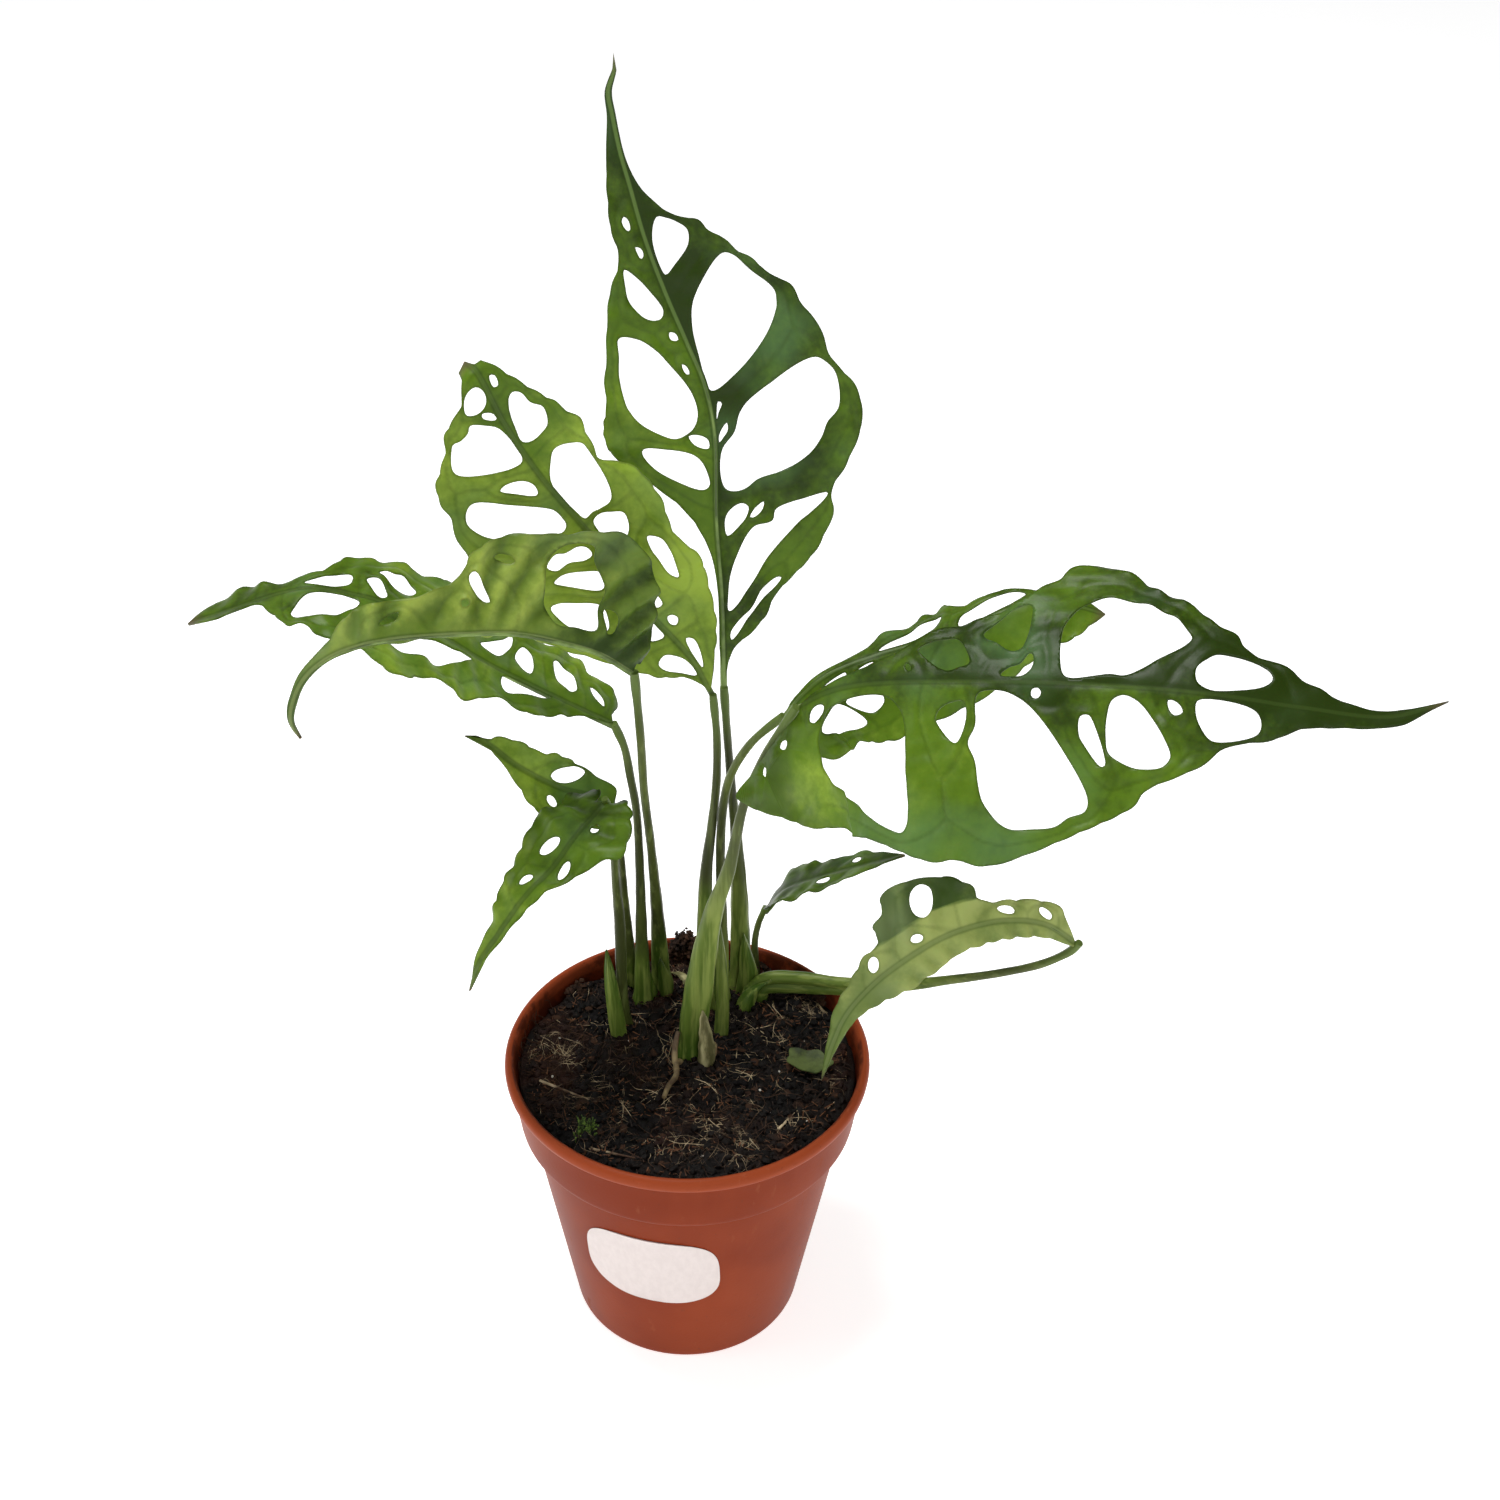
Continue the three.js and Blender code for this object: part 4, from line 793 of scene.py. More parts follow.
def make_midrib(leaf):
    """The rounded midrib under a blade, which thins from the stalk to the tip."""
    length = smooth_line(leaf["rib"], 40)[1][-1]
    steps = int(length / 1.2)
    spots = np.column_stack([np.linspace(-1.5, length * 0.96, steps), np.zeros(steps)])
    place, normal = lay(leaf, spots)
    thick = MIDRIB_RADIUS * min(1, 0.55 + length / 400)
    share = np.linspace(0, 1, steps)
    radii = share_out([thick, thick * 0.8, thick * 0.6, thick * 0.42, 0.22], share)
    raised = share_out([leaf["pale_rib"], leaf["pale_rib"], 0], share)
    sink = 0.42 * raised + (radii + 0.4) * (1 - raised)
    return tube(place - normal * sink[:, None], radii, 12)


def leaf_finish(side, gloss, roughness, dark, middle, light, rib_colour, sheen):
    """One side of the leaves: cloudy green, a pale line on the midrib, and dark veins and rim."""
    waxy = dict(specular_ior_level=gloss, subsurface_weight=0.05, subsurface_scale=0.8 * MM)
    finish = Finish(f"leaf_{side}_side", dark, roughness, **waxy)
    place = finish.stored("leaf_place")
    vein = finish.stored("leaf_vein")
    fine = finish.times(finish.grain(420, 5), 0.25)
    # The stored tone brings in the painted light and shade of each blade.
    shade = finish.sum(finish.sum(finish.times(finish.grain(42), 0.75), fine), place[2])
    finish.coat(middle, shade, 0.32, 0.66)
    finish.coat(light, shade, 0.62, 1.02)
    # Soft patches of painted greyish sheen, which also turn the green cooler in places.
    finish.coat(sheen, finish.grain(26, 2, seed=5), 0.5, 0.72, end=0.5)
    finish.coat(dark, vein[2], 0, 0.9, 0.35, 0)
    finish.coat(dark, vein[1], 0, 0.8, 0.26, 0)
    finish.coat(dark, vein[0], 0.6, 1.4, 0.55, 0)
    finish.tint(finish.times(finish.span(vein[0], 0.3, 0.75, 0.85, 0), place[1]), rib_colour)
    finish.coat("5a4f38", place[0], 0.955, 1, end=0.85)
    finish.relief(finish.grain(260, 3), 0.12)
    return finish


upper = leaf_finish("upper", 0.17, 0.4, "263806", "557316", "93ad3a", "76934a", "5a7d4c")
under = leaf_finish("under", 0.35, 0.5, "3c5412", "6a8529", "9db549", "8ba253", "77945a")
hanging = leaf_finish("hanging", 0.25, 0.5, "3a5018", "6a7d3a", "9ca85c", "93a263", "7a8a5a")
folded = leaf_finish("folded", 0.2, 0.45, "2b400a", "5f7726", "9aac48", "93a263", "677d52")
midrib_finish = Finish("midrib", "465a22", 0.42)
midrib_finish.coat("7a9346", midrib_finish.grain(90, 3))


def make_leaf(name, skins=(upper, under), **leaf):
    """One leaf. In millimetres: the midrib's course, and flat margins and holes of its two halves,
    each place along the midrib and out from it. In degrees: fold at the midrib, and bend to each
    10 mm out from it. Face is the way its upper side looks, and tone how light each half is: its
    own green together with painted light and shade."""
    shape, kinds = make_blade(leaf)
    make_piece(name + "_blade_skin", shape, skins, [name + "_blade"], 180, kinds)
    make_piece(name + "_midrib", make_midrib(leaf), [midrib_finish], crease=180)


# Leaf A is the tallest. It stands upright at the back.
make_leaf(
    "leaf_a",
    rib=[
        [10, 26, 229], [9, 28, 259], [7, 31, 284], [6, 36, 310], [3, 39, 323], [-2, 42, 334],
        [-8, 45, 347], [-14, 48, 362], [-18, 51, 375], [-21, 53, 385], [-23, 55, 394],
        [-24, 55, 400], [-22, 53, 407], [-22, 51, 411],
    ],
    face=[[0.12, -0.9, 0.42], [0.1, -0.93, 0.35], [0.05, -0.9, 0.42]],
    fold=[[14, 14, 10], [14, 14, 10]],
    bend=[[-3, -2, 0], [-4, -3, 0]],
    left=[
        [14, 1.2], [38.5, 1.5], [48.5, 3.5], [58, 8.5], [77, 29.5], [85, 32], [95.5, 31],
        [104.5, 28], [130.5, 14], [134.5, 10], [137.5, 8.5], [146, 8.5], [175, 1.2], [186.5, 1.2],
    ],
    right=[
        [9.5, 1.5], [14.5, 3.5], [23, 11.5], [33, 17], [39.5, 24.5], [47.5, 30.5], [58, 34.5],
        [63.5, 33.5], [67, 34.5], [81, 42.5], [84.5, 43], [87.5, 42], [94, 36.5], [97.5, 36.5],
        [106, 34], [111.5, 33.5], [117, 29], [123, 26.5], [127.5, 23], [132, 21], [135, 18],
        [140, 15.5], [143, 10], [149.5, 4.5], [153.5, 2.5], [160, 1.2], [186, 1.2],
    ],
    left_holes=[
        [[146.5, 4], [145, 3], [142.5, 3.5], [143, 4.5], [145.5, 5]],
        [[138, 3.5], [137, 2], [135, 2], [134.5, 3], [136.5, 3.5]],
        [[133.5, 8.5], [131, 6.5], [119.5, 2.5], [117.5, 4], [118, 6.5], [120.5, 9], [126, 10.5]],
        [[113, 3.5], [112, 2], [110, 2], [111, 4]],
        [[117.5, 17.5], [115, 12.5], [110.5, 9.5], [105.5, 7.5], [93, 4], [88, 4], [84.5, 5.5],
         [82.5, 7.5], [81.5, 11.5], [84, 16], [89.5, 21], [97, 23.5], [104, 23], [112.5, 20]],
        [[103.5, 4], [102.5, 3], [100, 3], [100.5, 4]],
        [[81.5, 7.5], [81.5, 5], [79.5, 2], [77, 2], [77.5, 4.5], [79, 6.5]],
        [[79.5, 21.5], [78.5, 15], [76, 7.5], [73.5, 4.5], [69.5, 2.5], [66, 2], [65, 4],
         [69.5, 14.5], [73, 19], [77, 21.5]],
    ],
    right_holes=[
        [[144, 5], [143, 7.5], [141.5, 9.5], [138, 12], [134, 11], [129.5, 5], [128, 2],
         [129.5, 1.5], [138.5, 2]],
        [[128, 19], [126.5, 21.5], [119.5, 25], [112, 28.5], [109.5, 28], [105, 25.5],
         [101.5, 21.5], [96, 9.5], [93.5, 1.2], [105.5, 2], [112.5, 3.5], [119, 7]],
        [[90, 2.5], [89.5, 3.5], [87, 2], [85, 1.2]],
        [[84, 4], [82, 4], [80, 2.5], [78.5, 1.2], [81, 1.5]],
        [[94.5, 32.5], [93, 35], [90.5, 37], [84.5, 36.5], [81.5, 32.5], [78.5, 30.5],
         [72.5, 23], [68.5, 12.5], [65.5, 9], [64.5, 6], [65, 3], [68.5, 1.5], [76.5, 2],
         [81.5, 6], [86, 8], [89, 11.5], [94, 26.5]],
        [[50.5, 3], [55, 2.5], [58.5, 4], [61, 7.5], [60, 9.5], [57, 9], [54, 7]],
        [[56.5, 10], [59.5, 11.5], [61.5, 14], [59, 13.5], [56.5, 11]],
        [[26.5, 2], [32, 2], [38, 3], [44.5, 5.5], [53.5, 11], [55.5, 16.5], [59, 17.5],
         [61.5, 22.5], [64.5, 32.5], [61, 30.5], [46.5, 17]],
        [[17, 2.5], [20, 2.5], [29, 9.5], [34, 12.5], [37, 16.5], [37, 18], [28, 10]],
    ],
    tone=((0.22, 0.14, -0.12), (0.1, -0.2, -0.2)),
    frill=0.25, pale_rib=0.6, pleat=0,
)

# Leaf B leans up to the left of leaf A, and its tip turns away.
make_leaf(
    "leaf_b",
    rib=[
        [6, 22, 230], [0, 22, 242], [-15, 20, 262], [-29, 17, 286], [-41, 14, 304],
        [-51, 12, 322], [-58, 14, 336], [-62, 19, 337],
    ],
    face=[[-0.1, -0.85, 0.5], [-0.1, -0.85, 0.5], [-0.2, -0.8, 0.5]],
    fold=[[10, 8, 8], [10, 10, 8]],
    bend=[[-2, -2, -2], [-2, -2, -2]],
    left=[
        [4, 1.2], [7.5, 3.5], [13, 9], [33.5, 20], [42, 26.5], [50, 31], [62.5, 32], [75, 31.5],
        [89, 29.5], [94.5, 27.5], [100, 27], [103.5, 25.5], [110, 18], [113, 16], [119, 8],
        [130, 3.5],
    ],
    right=[
        [12, 7.5], [20.5, 14.5], [35, 21.5], [43.5, 23], [55.5, 21], [64, 23], [74.5, 23],
        [79, 21.5], [85, 17], [90, 17.4], [100, 19], [103.5, 18], [116, 11.5], [127.5, 2],
    ],
    left_holes=[
        [[119, 7], [121, 5], [121.5, 2.5], [120, 1.2], [117.5, 1.2], [115.5, 2.5], [114.5, 5],
         [115.5, 8]],
        [[114, 4], [113, 1.5], [111, 1.2], [111, 2], [113, 4.5]],
        [[110, 15.5], [110, 13], [111, 10], [112.5, 8.5], [111, 5], [108.5, 2], [97, 1.5],
         [96.5, 4.5], [100, 14.5], [102.5, 18.5], [105, 19]],
        [[93.5, 11.5], [94, 10], [93, 6], [90.5, 3.5], [88, 3], [86, 4]],
        [[93.5, 22.5], [94.5, 19.5], [88.5, 12], [80, 3.5], [76, 3], [73.5, 3.5], [72.5, 5.5],
         [80.5, 15], [82.5, 20], [87, 23.5], [91, 24.5]],
        [[66, 15.5], [67.5, 11.5], [66, 9], [65.5, 5], [63.5, 3], [60.5, 3], [60.5, 5.5],
         [62.5, 9.5], [63, 14]],
        [[60.5, 16.5], [60.5, 12.5], [56.5, 6], [54, 4], [49.5, 6], [53.5, 11.5], [57, 15]],
        [[54, 21.5], [53.5, 19], [50.5, 15], [45, 9.5], [41.5, 10], [38.5, 12.5], [43, 18.5],
         [48, 21.5]],
        [[34.5, 1.5], [28, 1.2], [25, 1.5], [25.5, 3.5], [27.5, 5.5]],
        [[20, 8.5], [20.5, 5.5], [17.5, 3], [14, 1.5], [7.5, 1.2], [15, 7.5]],
    ],
    right_holes=[
        [[122.5, 2.5], [122, 4], [119.5, 3.5], [119.5, 2]],
        [[115, 4.5], [116.5, 6.5], [115.5, 8.5], [112, 9.5], [109, 12], [106.5, 12], [103, 10],
         [101.5, 7], [101, 3.5], [102, 1.5], [106, 2]],
        [[92.5, 5], [95, 7.5], [95.5, 11], [93.5, 15], [90, 15.6], [81.5, 15], [72, 11.5],
         [71.5, 7.5], [72, 5], [71.5, 2], [75, 1.2], [86, 1.2]],
        [[69.5, 3.5], [70.5, 6], [69, 9.5], [67, 12], [64, 11.5], [61, 9.5], [59, 6.5], [60, 5],
         [63, 5.5], [64, 3.5], [65, 3]],
        [[57, 13.5], [56, 15.5], [54, 17], [50, 17], [39, 14], [41.5, 13], [52, 12.5]],
        [[41.5, 3.5], [41, 5], [34, 5], [34, 3], [36.5, 2.5]],
        [[29.5, 3.5], [29, 5], [27, 5.5], [25.5, 3.5], [27, 2.5]],
        [[20, 3], [18.5, 4.5], [15, 4], [9, 1.5], [16, 1.5]],
    ],
    tone=((0.36, 0.38, 0.26), (0.42, 0.34, 0.16)),
    frill=0.5, pale_rib=0.2, pleat=0,
)

# Leaf C points left, nearly level, and shows its upper side.
make_leaf(
    "leaf_c",
    rib=[
        [-23, 12, 225], [-38, 9, 235], [-59, 6, 249], [-71, 4, 259], [-85, 2, 270],
        [-96, 1, 274], [-105, 0, 276], [-114, -1, 275], [-122, -3, 273], [-141, -6, 267],
    ],
    face=[[0, -0.15, 0.98], [0, -0.1, 1], [0.1, -0.1, 1]],
    fold=[[-6, 0, 4], [4, 4, -6]],
    bend=[[-2, -2, -2], [-2, -2, -2]],
    left=[
        [4, 1.2], [11, 3], [27, 12], [34, 13.5], [37.5, 12.5], [41, 14], [51, 21], [54, 19.5],
        [59, 20], [64, 22], [69, 27], [79, 26], [95, 21], [97.5, 21], [101, 17], [106.5, 16.5],
        [110.5, 12], [115.5, 3], [120, 2], [124.5, 3.5], [130, 3.5],
    ],
    right=[
        [0.5, 3], [-1.5, 8], [2.5, 16], [8.5, 17], [14.5, 22.5], [26.5, 21.5], [40.5, 17],
        [49.5, 22], [54, 26], [64.5, 23.5], [72.5, 20.5], [75.5, 21.5], [82, 19], [85, 19.5],
        [91.5, 17], [95.5, 11], [98.5, 8.5], [108, 5], [119, 9.5], [123.5, 8.5], [132, 4],
    ],
    left_holes=[
        [[105, 11], [101, 3.5], [97, 2], [92.5, 2], [86, 3], [87, 7], [94.5, 13], [101.5, 12.5]],
        [[78, 17.5], [70, 9.5], [65, 6.5], [59.5, 4.5], [49, 2.5], [52, 6.5], [59, 13], [65, 15]],
        [[38, 2.5], [36.5, 1.5], [21.5, 1.2], [31, 6], [36, 7.5], [38, 5]],
    ],
    right_holes=[
        [[102, 2.5], [98.5, 4.5], [95, 7.5], [91, 9.5], [89, 7.5], [89.5, 3.5], [93, 1.5],
         [97, 1.5]],
        [[85, 7.5], [82.5, 8.5], [80.5, 7], [78.5, 3], [79.5, 1.5], [81, 1.5], [83.5, 4]],
        [[82, 12.5], [80.5, 13.5], [78, 13.5], [75, 15], [72.5, 14.5], [70, 12], [71, 9.5],
         [76, 8], [79, 9]],
        [[46.5, 6.5], [40, 12], [37, 16], [36.5, 12.5], [37.5, 9.5], [40.5, 5], [43.5, 4.5]],
        [[34.5, 8.5], [34, 12], [32.5, 14], [29.5, 12.5], [28.5, 7.5], [29.5, 4], [31.5, 4.5]],
        [[22.5, 12.5], [21, 14.5], [17, 14.5], [13, 7.5], [15.5, 4.5], [19, 6.5]],
        [[8, 11], [6, 10.5], [3.5, 4.5], [5, 5], [7.5, 8]],
    ],
    tone=((0.18, 0.14, 0.04), (0.18, 0.14, 0.04)),
    frill=0.5, pale_rib=0.2, pleat=0.35,
)

# Leaf D is in front on the left. Its left half is folded back, its right half is pleated by
# the veins, and its tip hooks down.
make_leaf(
    "leaf_d",
    rib=[
        [-16, 0, 250], [-25, -6, 260], [-35, -12, 267], [-47, -18, 273], [-59, -22, 275],
        [-69, -26, 276.5], [-79, -31, 278], [-88, -35.5, 278], [-95.5, -39.5, 276],
        [-101, -43, 271.5], [-104, -45.5, 265], [-104.5, -46, 259.5], [-103, -44.5, 254],
    ],
    face=[[0, -0.75, 0.66], [0, -0.75, 0.66], [-0.5, -0.6, 0.6]],
    fold=[[-95, -95, -30], [12, 10, 4]],
    bend=[[0, 0, 0], [3, 3, 0]],
    left=[[1, 2], [12, 4], [50, 3.5], [80, 2], [92, 1.2], [121, 1.2]],
    right=[
        [0.8, 3], [-1, 3.5], [16.5, 32.5], [21, 34], [30.5, 31.5], [34.5, 29.5], [48, 26],
        [55, 21], [58, 15.5], [65.5, 12], [72, 10.5], [84, 10], [88, 8], [93, 4.5], [99, 2.4],
        [108, 1.4], [121, 1.2],
    ],
    left_holes=[],
    right_holes=[
        [[80, 4.5], [79, 5.5], [74.5, 7], [75.5, 5], [77.5, 4.5]],
        [[58, 9], [56.5, 9.5], [56, 8], [58, 7.5]],
        [[55.5, 13.5], [55.5, 16], [54, 17], [52.5, 15.5], [50, 8.5], [51, 8.5]],
        [[48.5, 20.5], [47.5, 21.5], [45, 21], [44.5, 19.5], [45.5, 19]],
        [[37.5, 21.5], [38, 17.5], [37, 12.5], [32.5, 5], [25, 5], [18.5, 6], [26, 27.5],
         [29.5, 28.5], [34.5, 26.5]],
        [[17.5, 12], [15.5, 12.5], [13, 7], [15, 6]],
    ],
    # The dark base of the right half is painted shade.
    tone=((0.24, 0.2, 0.1), (-0.16, 0.12, 0.3, 0.28, 0.16)),
    frill=0.5, pale_rib=0.5, pleat=1.1,
    skins=[folded, under],
)

# Leaf E is the largest. It reaches to the right, with a wide lobe behind its stalk.
make_leaf(
    "leaf_e",
    rib=[
        [32, -12, 248], [40, -17, 256], [51, -22, 262], [85, -34, 271], [111, -41, 275],
        [136, -47, 277], [162, -50, 275], [185, -52, 274], [200, -50, 278],
    ],
    face=[[0.1, -0.5, 0.87], [0.1, -0.45, 0.9], [0.1, -0.4, 0.9]],
    fold=[[4, 10, 0], [-20, -22, -14]],
    bend=[[-3, -6, -2], [-2, -2, -2]],
    left=[
        [4.5, 1.2], [16, 3], [27.5, 7], [44, 16], [60, 22.5], [68.5, 27.5], [70.5, 30.5],
        [75.5, 34], [78.5, 38.5], [81.5, 40], [85.5, 40], [96.5, 36.5], [100.5, 33],
        [112.5, 27.5], [120.5, 21], [125, 19], [127, 16], [130.5, 13.5], [135.5, 12.5], [147, 6],
        [160, 2], [175, 1.2],
    ],
    right=[
        [-0.5, 2], [-33, 17.5], [-29.5, 21], [-6.5, 34.5], [4, 38], [6.5, 40.5], [23, 43],
        [44, 49], [48.5, 49.5], [52, 48.5], [61, 50], [71.5, 47], [98.5, 34], [102.5, 31],
        [104, 28], [118, 20], [125, 13.5], [136, 10], [143.5, 6], [176.5, 2],
    ],
    left_holes=[
        [[39, 9.5], [41.5, 11.5], [45.5, 13], [49, 13.5], [54, 5.5], [51.5, 4], [48, 3],
         [42, 6.5]],
        [[57, 14], [56.5, 15.5], [65, 23], [69, 24], [69.5, 19], [68, 10.5], [65, 9.5],
         [61.5, 11]],
        [[63, 2], [65, 4.5], [68, 5.5], [70.5, 8.5], [71.5, 7.5], [71.5, 4.5], [69.5, 2],
         [66, 1.5]],
        [[80, 2.5], [78.5, 13.5], [80, 19.5], [86.5, 27], [92, 27.5], [104, 24.5], [112, 18],
         [112.5, 16], [101, 6], [96, 3], [92, 3], [82, 1.5]],
        [[115, 3], [114.5, 7], [117, 10], [120, 12], [130, 11.5], [134, 8.5], [134.5, 6.5],
         [132, 4], [122, 1.2], [118, 1.2]],
        [[36, 5.5], [37.5, 4.5], [37.5, 3], [36, 4]],
    ],
    right_holes=[
        [[3.5, 15], [4.5, 10.5], [8.5, 6.5], [14, 4.5], [20, 3.5], [30.5, 4], [34.5, 7],
         [36.5, 12], [38.5, 34], [38, 39.5], [36.5, 41.5], [33.5, 41], [14, 31], [4, 23]],
        [[3, 6], [4, 3.5], [7, 2.5], [9.5, 3.5], [8, 5.5], [5, 7]],
        [[57.5, 3.5], [63, 2.5], [68.5, 4.5], [73, 8], [81.5, 18.5], [89, 31], [88.5, 34],
         [84, 36], [80.5, 38.5], [74, 39.5], [67, 39.5], [60.5, 33.5], [57.5, 21.5], [55.5, 17],
         [57, 12.5]],
        [[46, 10.5], [48, 7], [53, 5.5], [54.5, 8.5], [52.5, 17], [50.5, 16.5]],
        [[85.5, 9], [87.5, 8.5], [88.5, 9.5], [92.5, 19], [93, 21.5], [92, 22], [87, 16.5],
         [85.5, 14]],
        [[93.5, 4], [96, 2.5], [98.5, 3], [102, 5.5], [108, 13.5], [110, 18], [108, 21],
         [102.5, 22], [97, 20.5], [93.5, 18], [92.5, 13.5], [92.5, 8]],
        [[108, 3], [109.5, 3], [111.5, 4.5], [112, 6], [110, 7], [108.5, 5.5]],
        [[115.5, 2.5], [118.5, 1.5], [130.5, 3], [132.5, 6], [132, 9], [123.5, 12.5],
         [120, 12.5], [117.5, 10], [115.5, 6]],
        [[72, 2], [73.5, 1.5], [74.5, 3], [73.5, 4.5], [72, 4]],
        [[-19.5, 12.5], [-18.5, 13], [-19.5, 15.5], [-20.5, 14.5]],
        [[-10.5, 9.5], [-9, 8], [-7, 8.5], [-8.5, 10.5]],
    ],
    tone=((0.06, -0.18, -0.18), (0.09, 0.02, -0.18)),
    frill=0.25, pale_rib=0.1, pleat=0,
)

# Leaf F is narrow, and lies behind leaf E.
make_leaf(
    "leaf_f",
    rib=[
        [28, 8, 231], [33, 9, 238], [41, 12, 244], [56, 16, 249], [77, 20, 254], [100, 24, 263],
        [114, 26, 261], [123, 25, 259],
    ],
    face=[[0.1, -0.5, 0.87], [0.1, -0.4, 0.9], [0.1, -0.4, 0.9]],
    fold=[[-24, -24, -20], [-20, -20, -15]],
    bend=[[-2, -2, -2], [-2, -2, -2]],
    left=[
        [4.5, 1.2], [30, 3.5], [35.5, 6], [39, 9], [46.5, 9.5], [52, 13.5], [55.5, 13.5],
        [59, 15], [62, 11], [71, 11], [75, 9], [78, 9], [82, 7], [91, 5.5], [96.5, 6], [101, 3],
    ],
    right=[
        [0.8, 3], [-3, 3.5], [-6.5, 6.5], [-6.5, 10.5], [2, 22], [12.5, 22], [33, 26],
        [50, 23.5], [91.5, 13], [99.5, 9], [104, 3.5],
    ],
    left_holes=[
        [[35.5, 1.2], [44, 5.5], [54.5, 9.5], [57, 9.5], [53, 4.5], [48.5, 2], [43, 1.2]],
        [[60.5, 2], [63, 6], [68, 7], [80, 6.5], [82.5, 4.5], [78.5, 2], [73, 1.2], [62, 1.2]],
    ],
    right_holes=[
        [[3, 12], [9.5, 10], [15.5, 9], [18, 10.5], [24, 18], [18, 18.5], [10, 16.5], [3.5, 14]],
        [[19.5, 10], [24.5, 9], [28, 9.5], [32, 11.5], [32, 14], [27.5, 16], [21, 12]],
        [[3, 6.5], [7, 5], [11.5, 5], [12.5, 7], [4, 8.5]],
        [[14.5, 3], [21, 2], [24, 2], [23, 3.5], [16, 4]],
        [[25.5, 4.5], [28, 2.5], [33, 2], [32, 3.5], [28.5, 5.5]],
    ],
    tone=((0.15, 0.08, 0.1), (0.15, 0.08, 0.25)),
    frill=0.6, pale_rib=0.3, pleat=0,
)

# Leaf G is small, and points left.
make_leaf(
    "leaf_g",
    rib=[
        [-24, 14, 191], [-31, 16, 195], [-40, 17, 197], [-53, 18, 204], [-61, 17, 212],
        [-65, 16, 216], [-68, 14, 218],
    ],
    face=[[-0.2, -0.6, 0.77], [-0.2, -0.6, 0.77], [-0.3, -0.6, 0.7]],
    fold=[[4, 4, 0], [4, 4, 0]],
    bend=[[-2, -2, 0], [-2, -2, 0]],
    left=[[0.8, 2.5], [-1, 5], [2, 8], [15, 10], [21, 10], [28, 6.5], [36, 2.5], [43, 1.2]],
    right=[
        [0.8, 2.5], [3, 6], [8, 6.5], [13, 8.5], [23, 9.5], [28, 7.5], [36, 7], [43, 4.5],
        [47, 1.6],
    ],
    left_holes=[oval(19, 5, 4, 2.4, -38)],
    right_holes=[oval(17, 4.7, 11.5, 5, -25)],
    tone=((0.16, 0.3, 0.16), (0.16, 0.3, 0.16)),
    frill=0.5, pale_rib=0.1, pleat=0.15,
)

# Leaf H is small, and hangs down at the left.
make_leaf(
    "leaf_h",
    rib=[
        [-25, -2, 206], [-28, -8, 205], [-33, -15, 202], [-39, -22, 196], [-47, -29, 190],
        [-54, -34, 181], [-60, -37, 172], [-64, -38, 161],
    ],
    face=[[-0.5, -0.5, 0.7], [-0.5, -0.5, 0.7], [-0.6, -0.6, 0.3]],
    fold=[[-6, -6, 0], [0, 0, 0]],
    bend=[[-3, -3, 0], [-3, -3, 0]],
    left=[
        [0.5, 3], [-2, 6], [5, 12.5], [12, 16.5], [16, 15.5], [19, 12], [27, 7.5], [33, 5],
        [42, 3.5], [51, 2.5], [61, 1.5],
    ],
    right=[
        [0.5, 3], [-5, 5], [-5, 10], [-1, 14.5], [8, 18.5], [18, 17.5], [28, 14.5], [38, 10.5],
        [45, 8], [52, 5], [62, 2.5], [70, 1.2],
    ],
    left_holes=[oval(26, 3.8, 6, 2.6, 10), oval(11, 4, 3, 2.4, -19)],
    right_holes=[oval(22, 6, 8, 5, 25), oval(35, 4, 5, 2.6, 30)],
    tone=((0.06, 0.22, 0.42), (0.06, 0.24, 0.42)),
    frill=0.9, pale_rib=0.1, pleat=0.5,
)

# Leaf I is a small blade low down, behind the stalks.
make_leaf(
    "leaf_i",
    rib=[[25, 52, 124], [31, 50, 134], [43, 46, 143], [56, 42, 151], [70, 38, 159]],
    face=[[0.1, 0, 1], [0, 0, 1], [0, 0, 1]],
    fold=[[4, 4, 4], [4, 4, 0]],
    bend=[[0, 0, 0], [0, 0, 0]],
    left=[[0.8, 2], [4, 8], [10, 11], [20, 10], [26, 8.5], [36, 7.5], [42, 8], [51, 4]],
    right=[[0.8, 2], [6, 7], [14, 11], [24, 11.5], [33, 9], [38, 9.5], [44, 6], [53, 3]],
    left_holes=[oval(41, 3.4, 4, 2.6, -20)],
    right_holes=[oval(30, 4, 5, 3, -20)],
    tone=((0, -0.02, 0.05), (0, -0.02, 0.05)),
    frill=0.9, pale_rib=0.1, pleat=0.3,
)

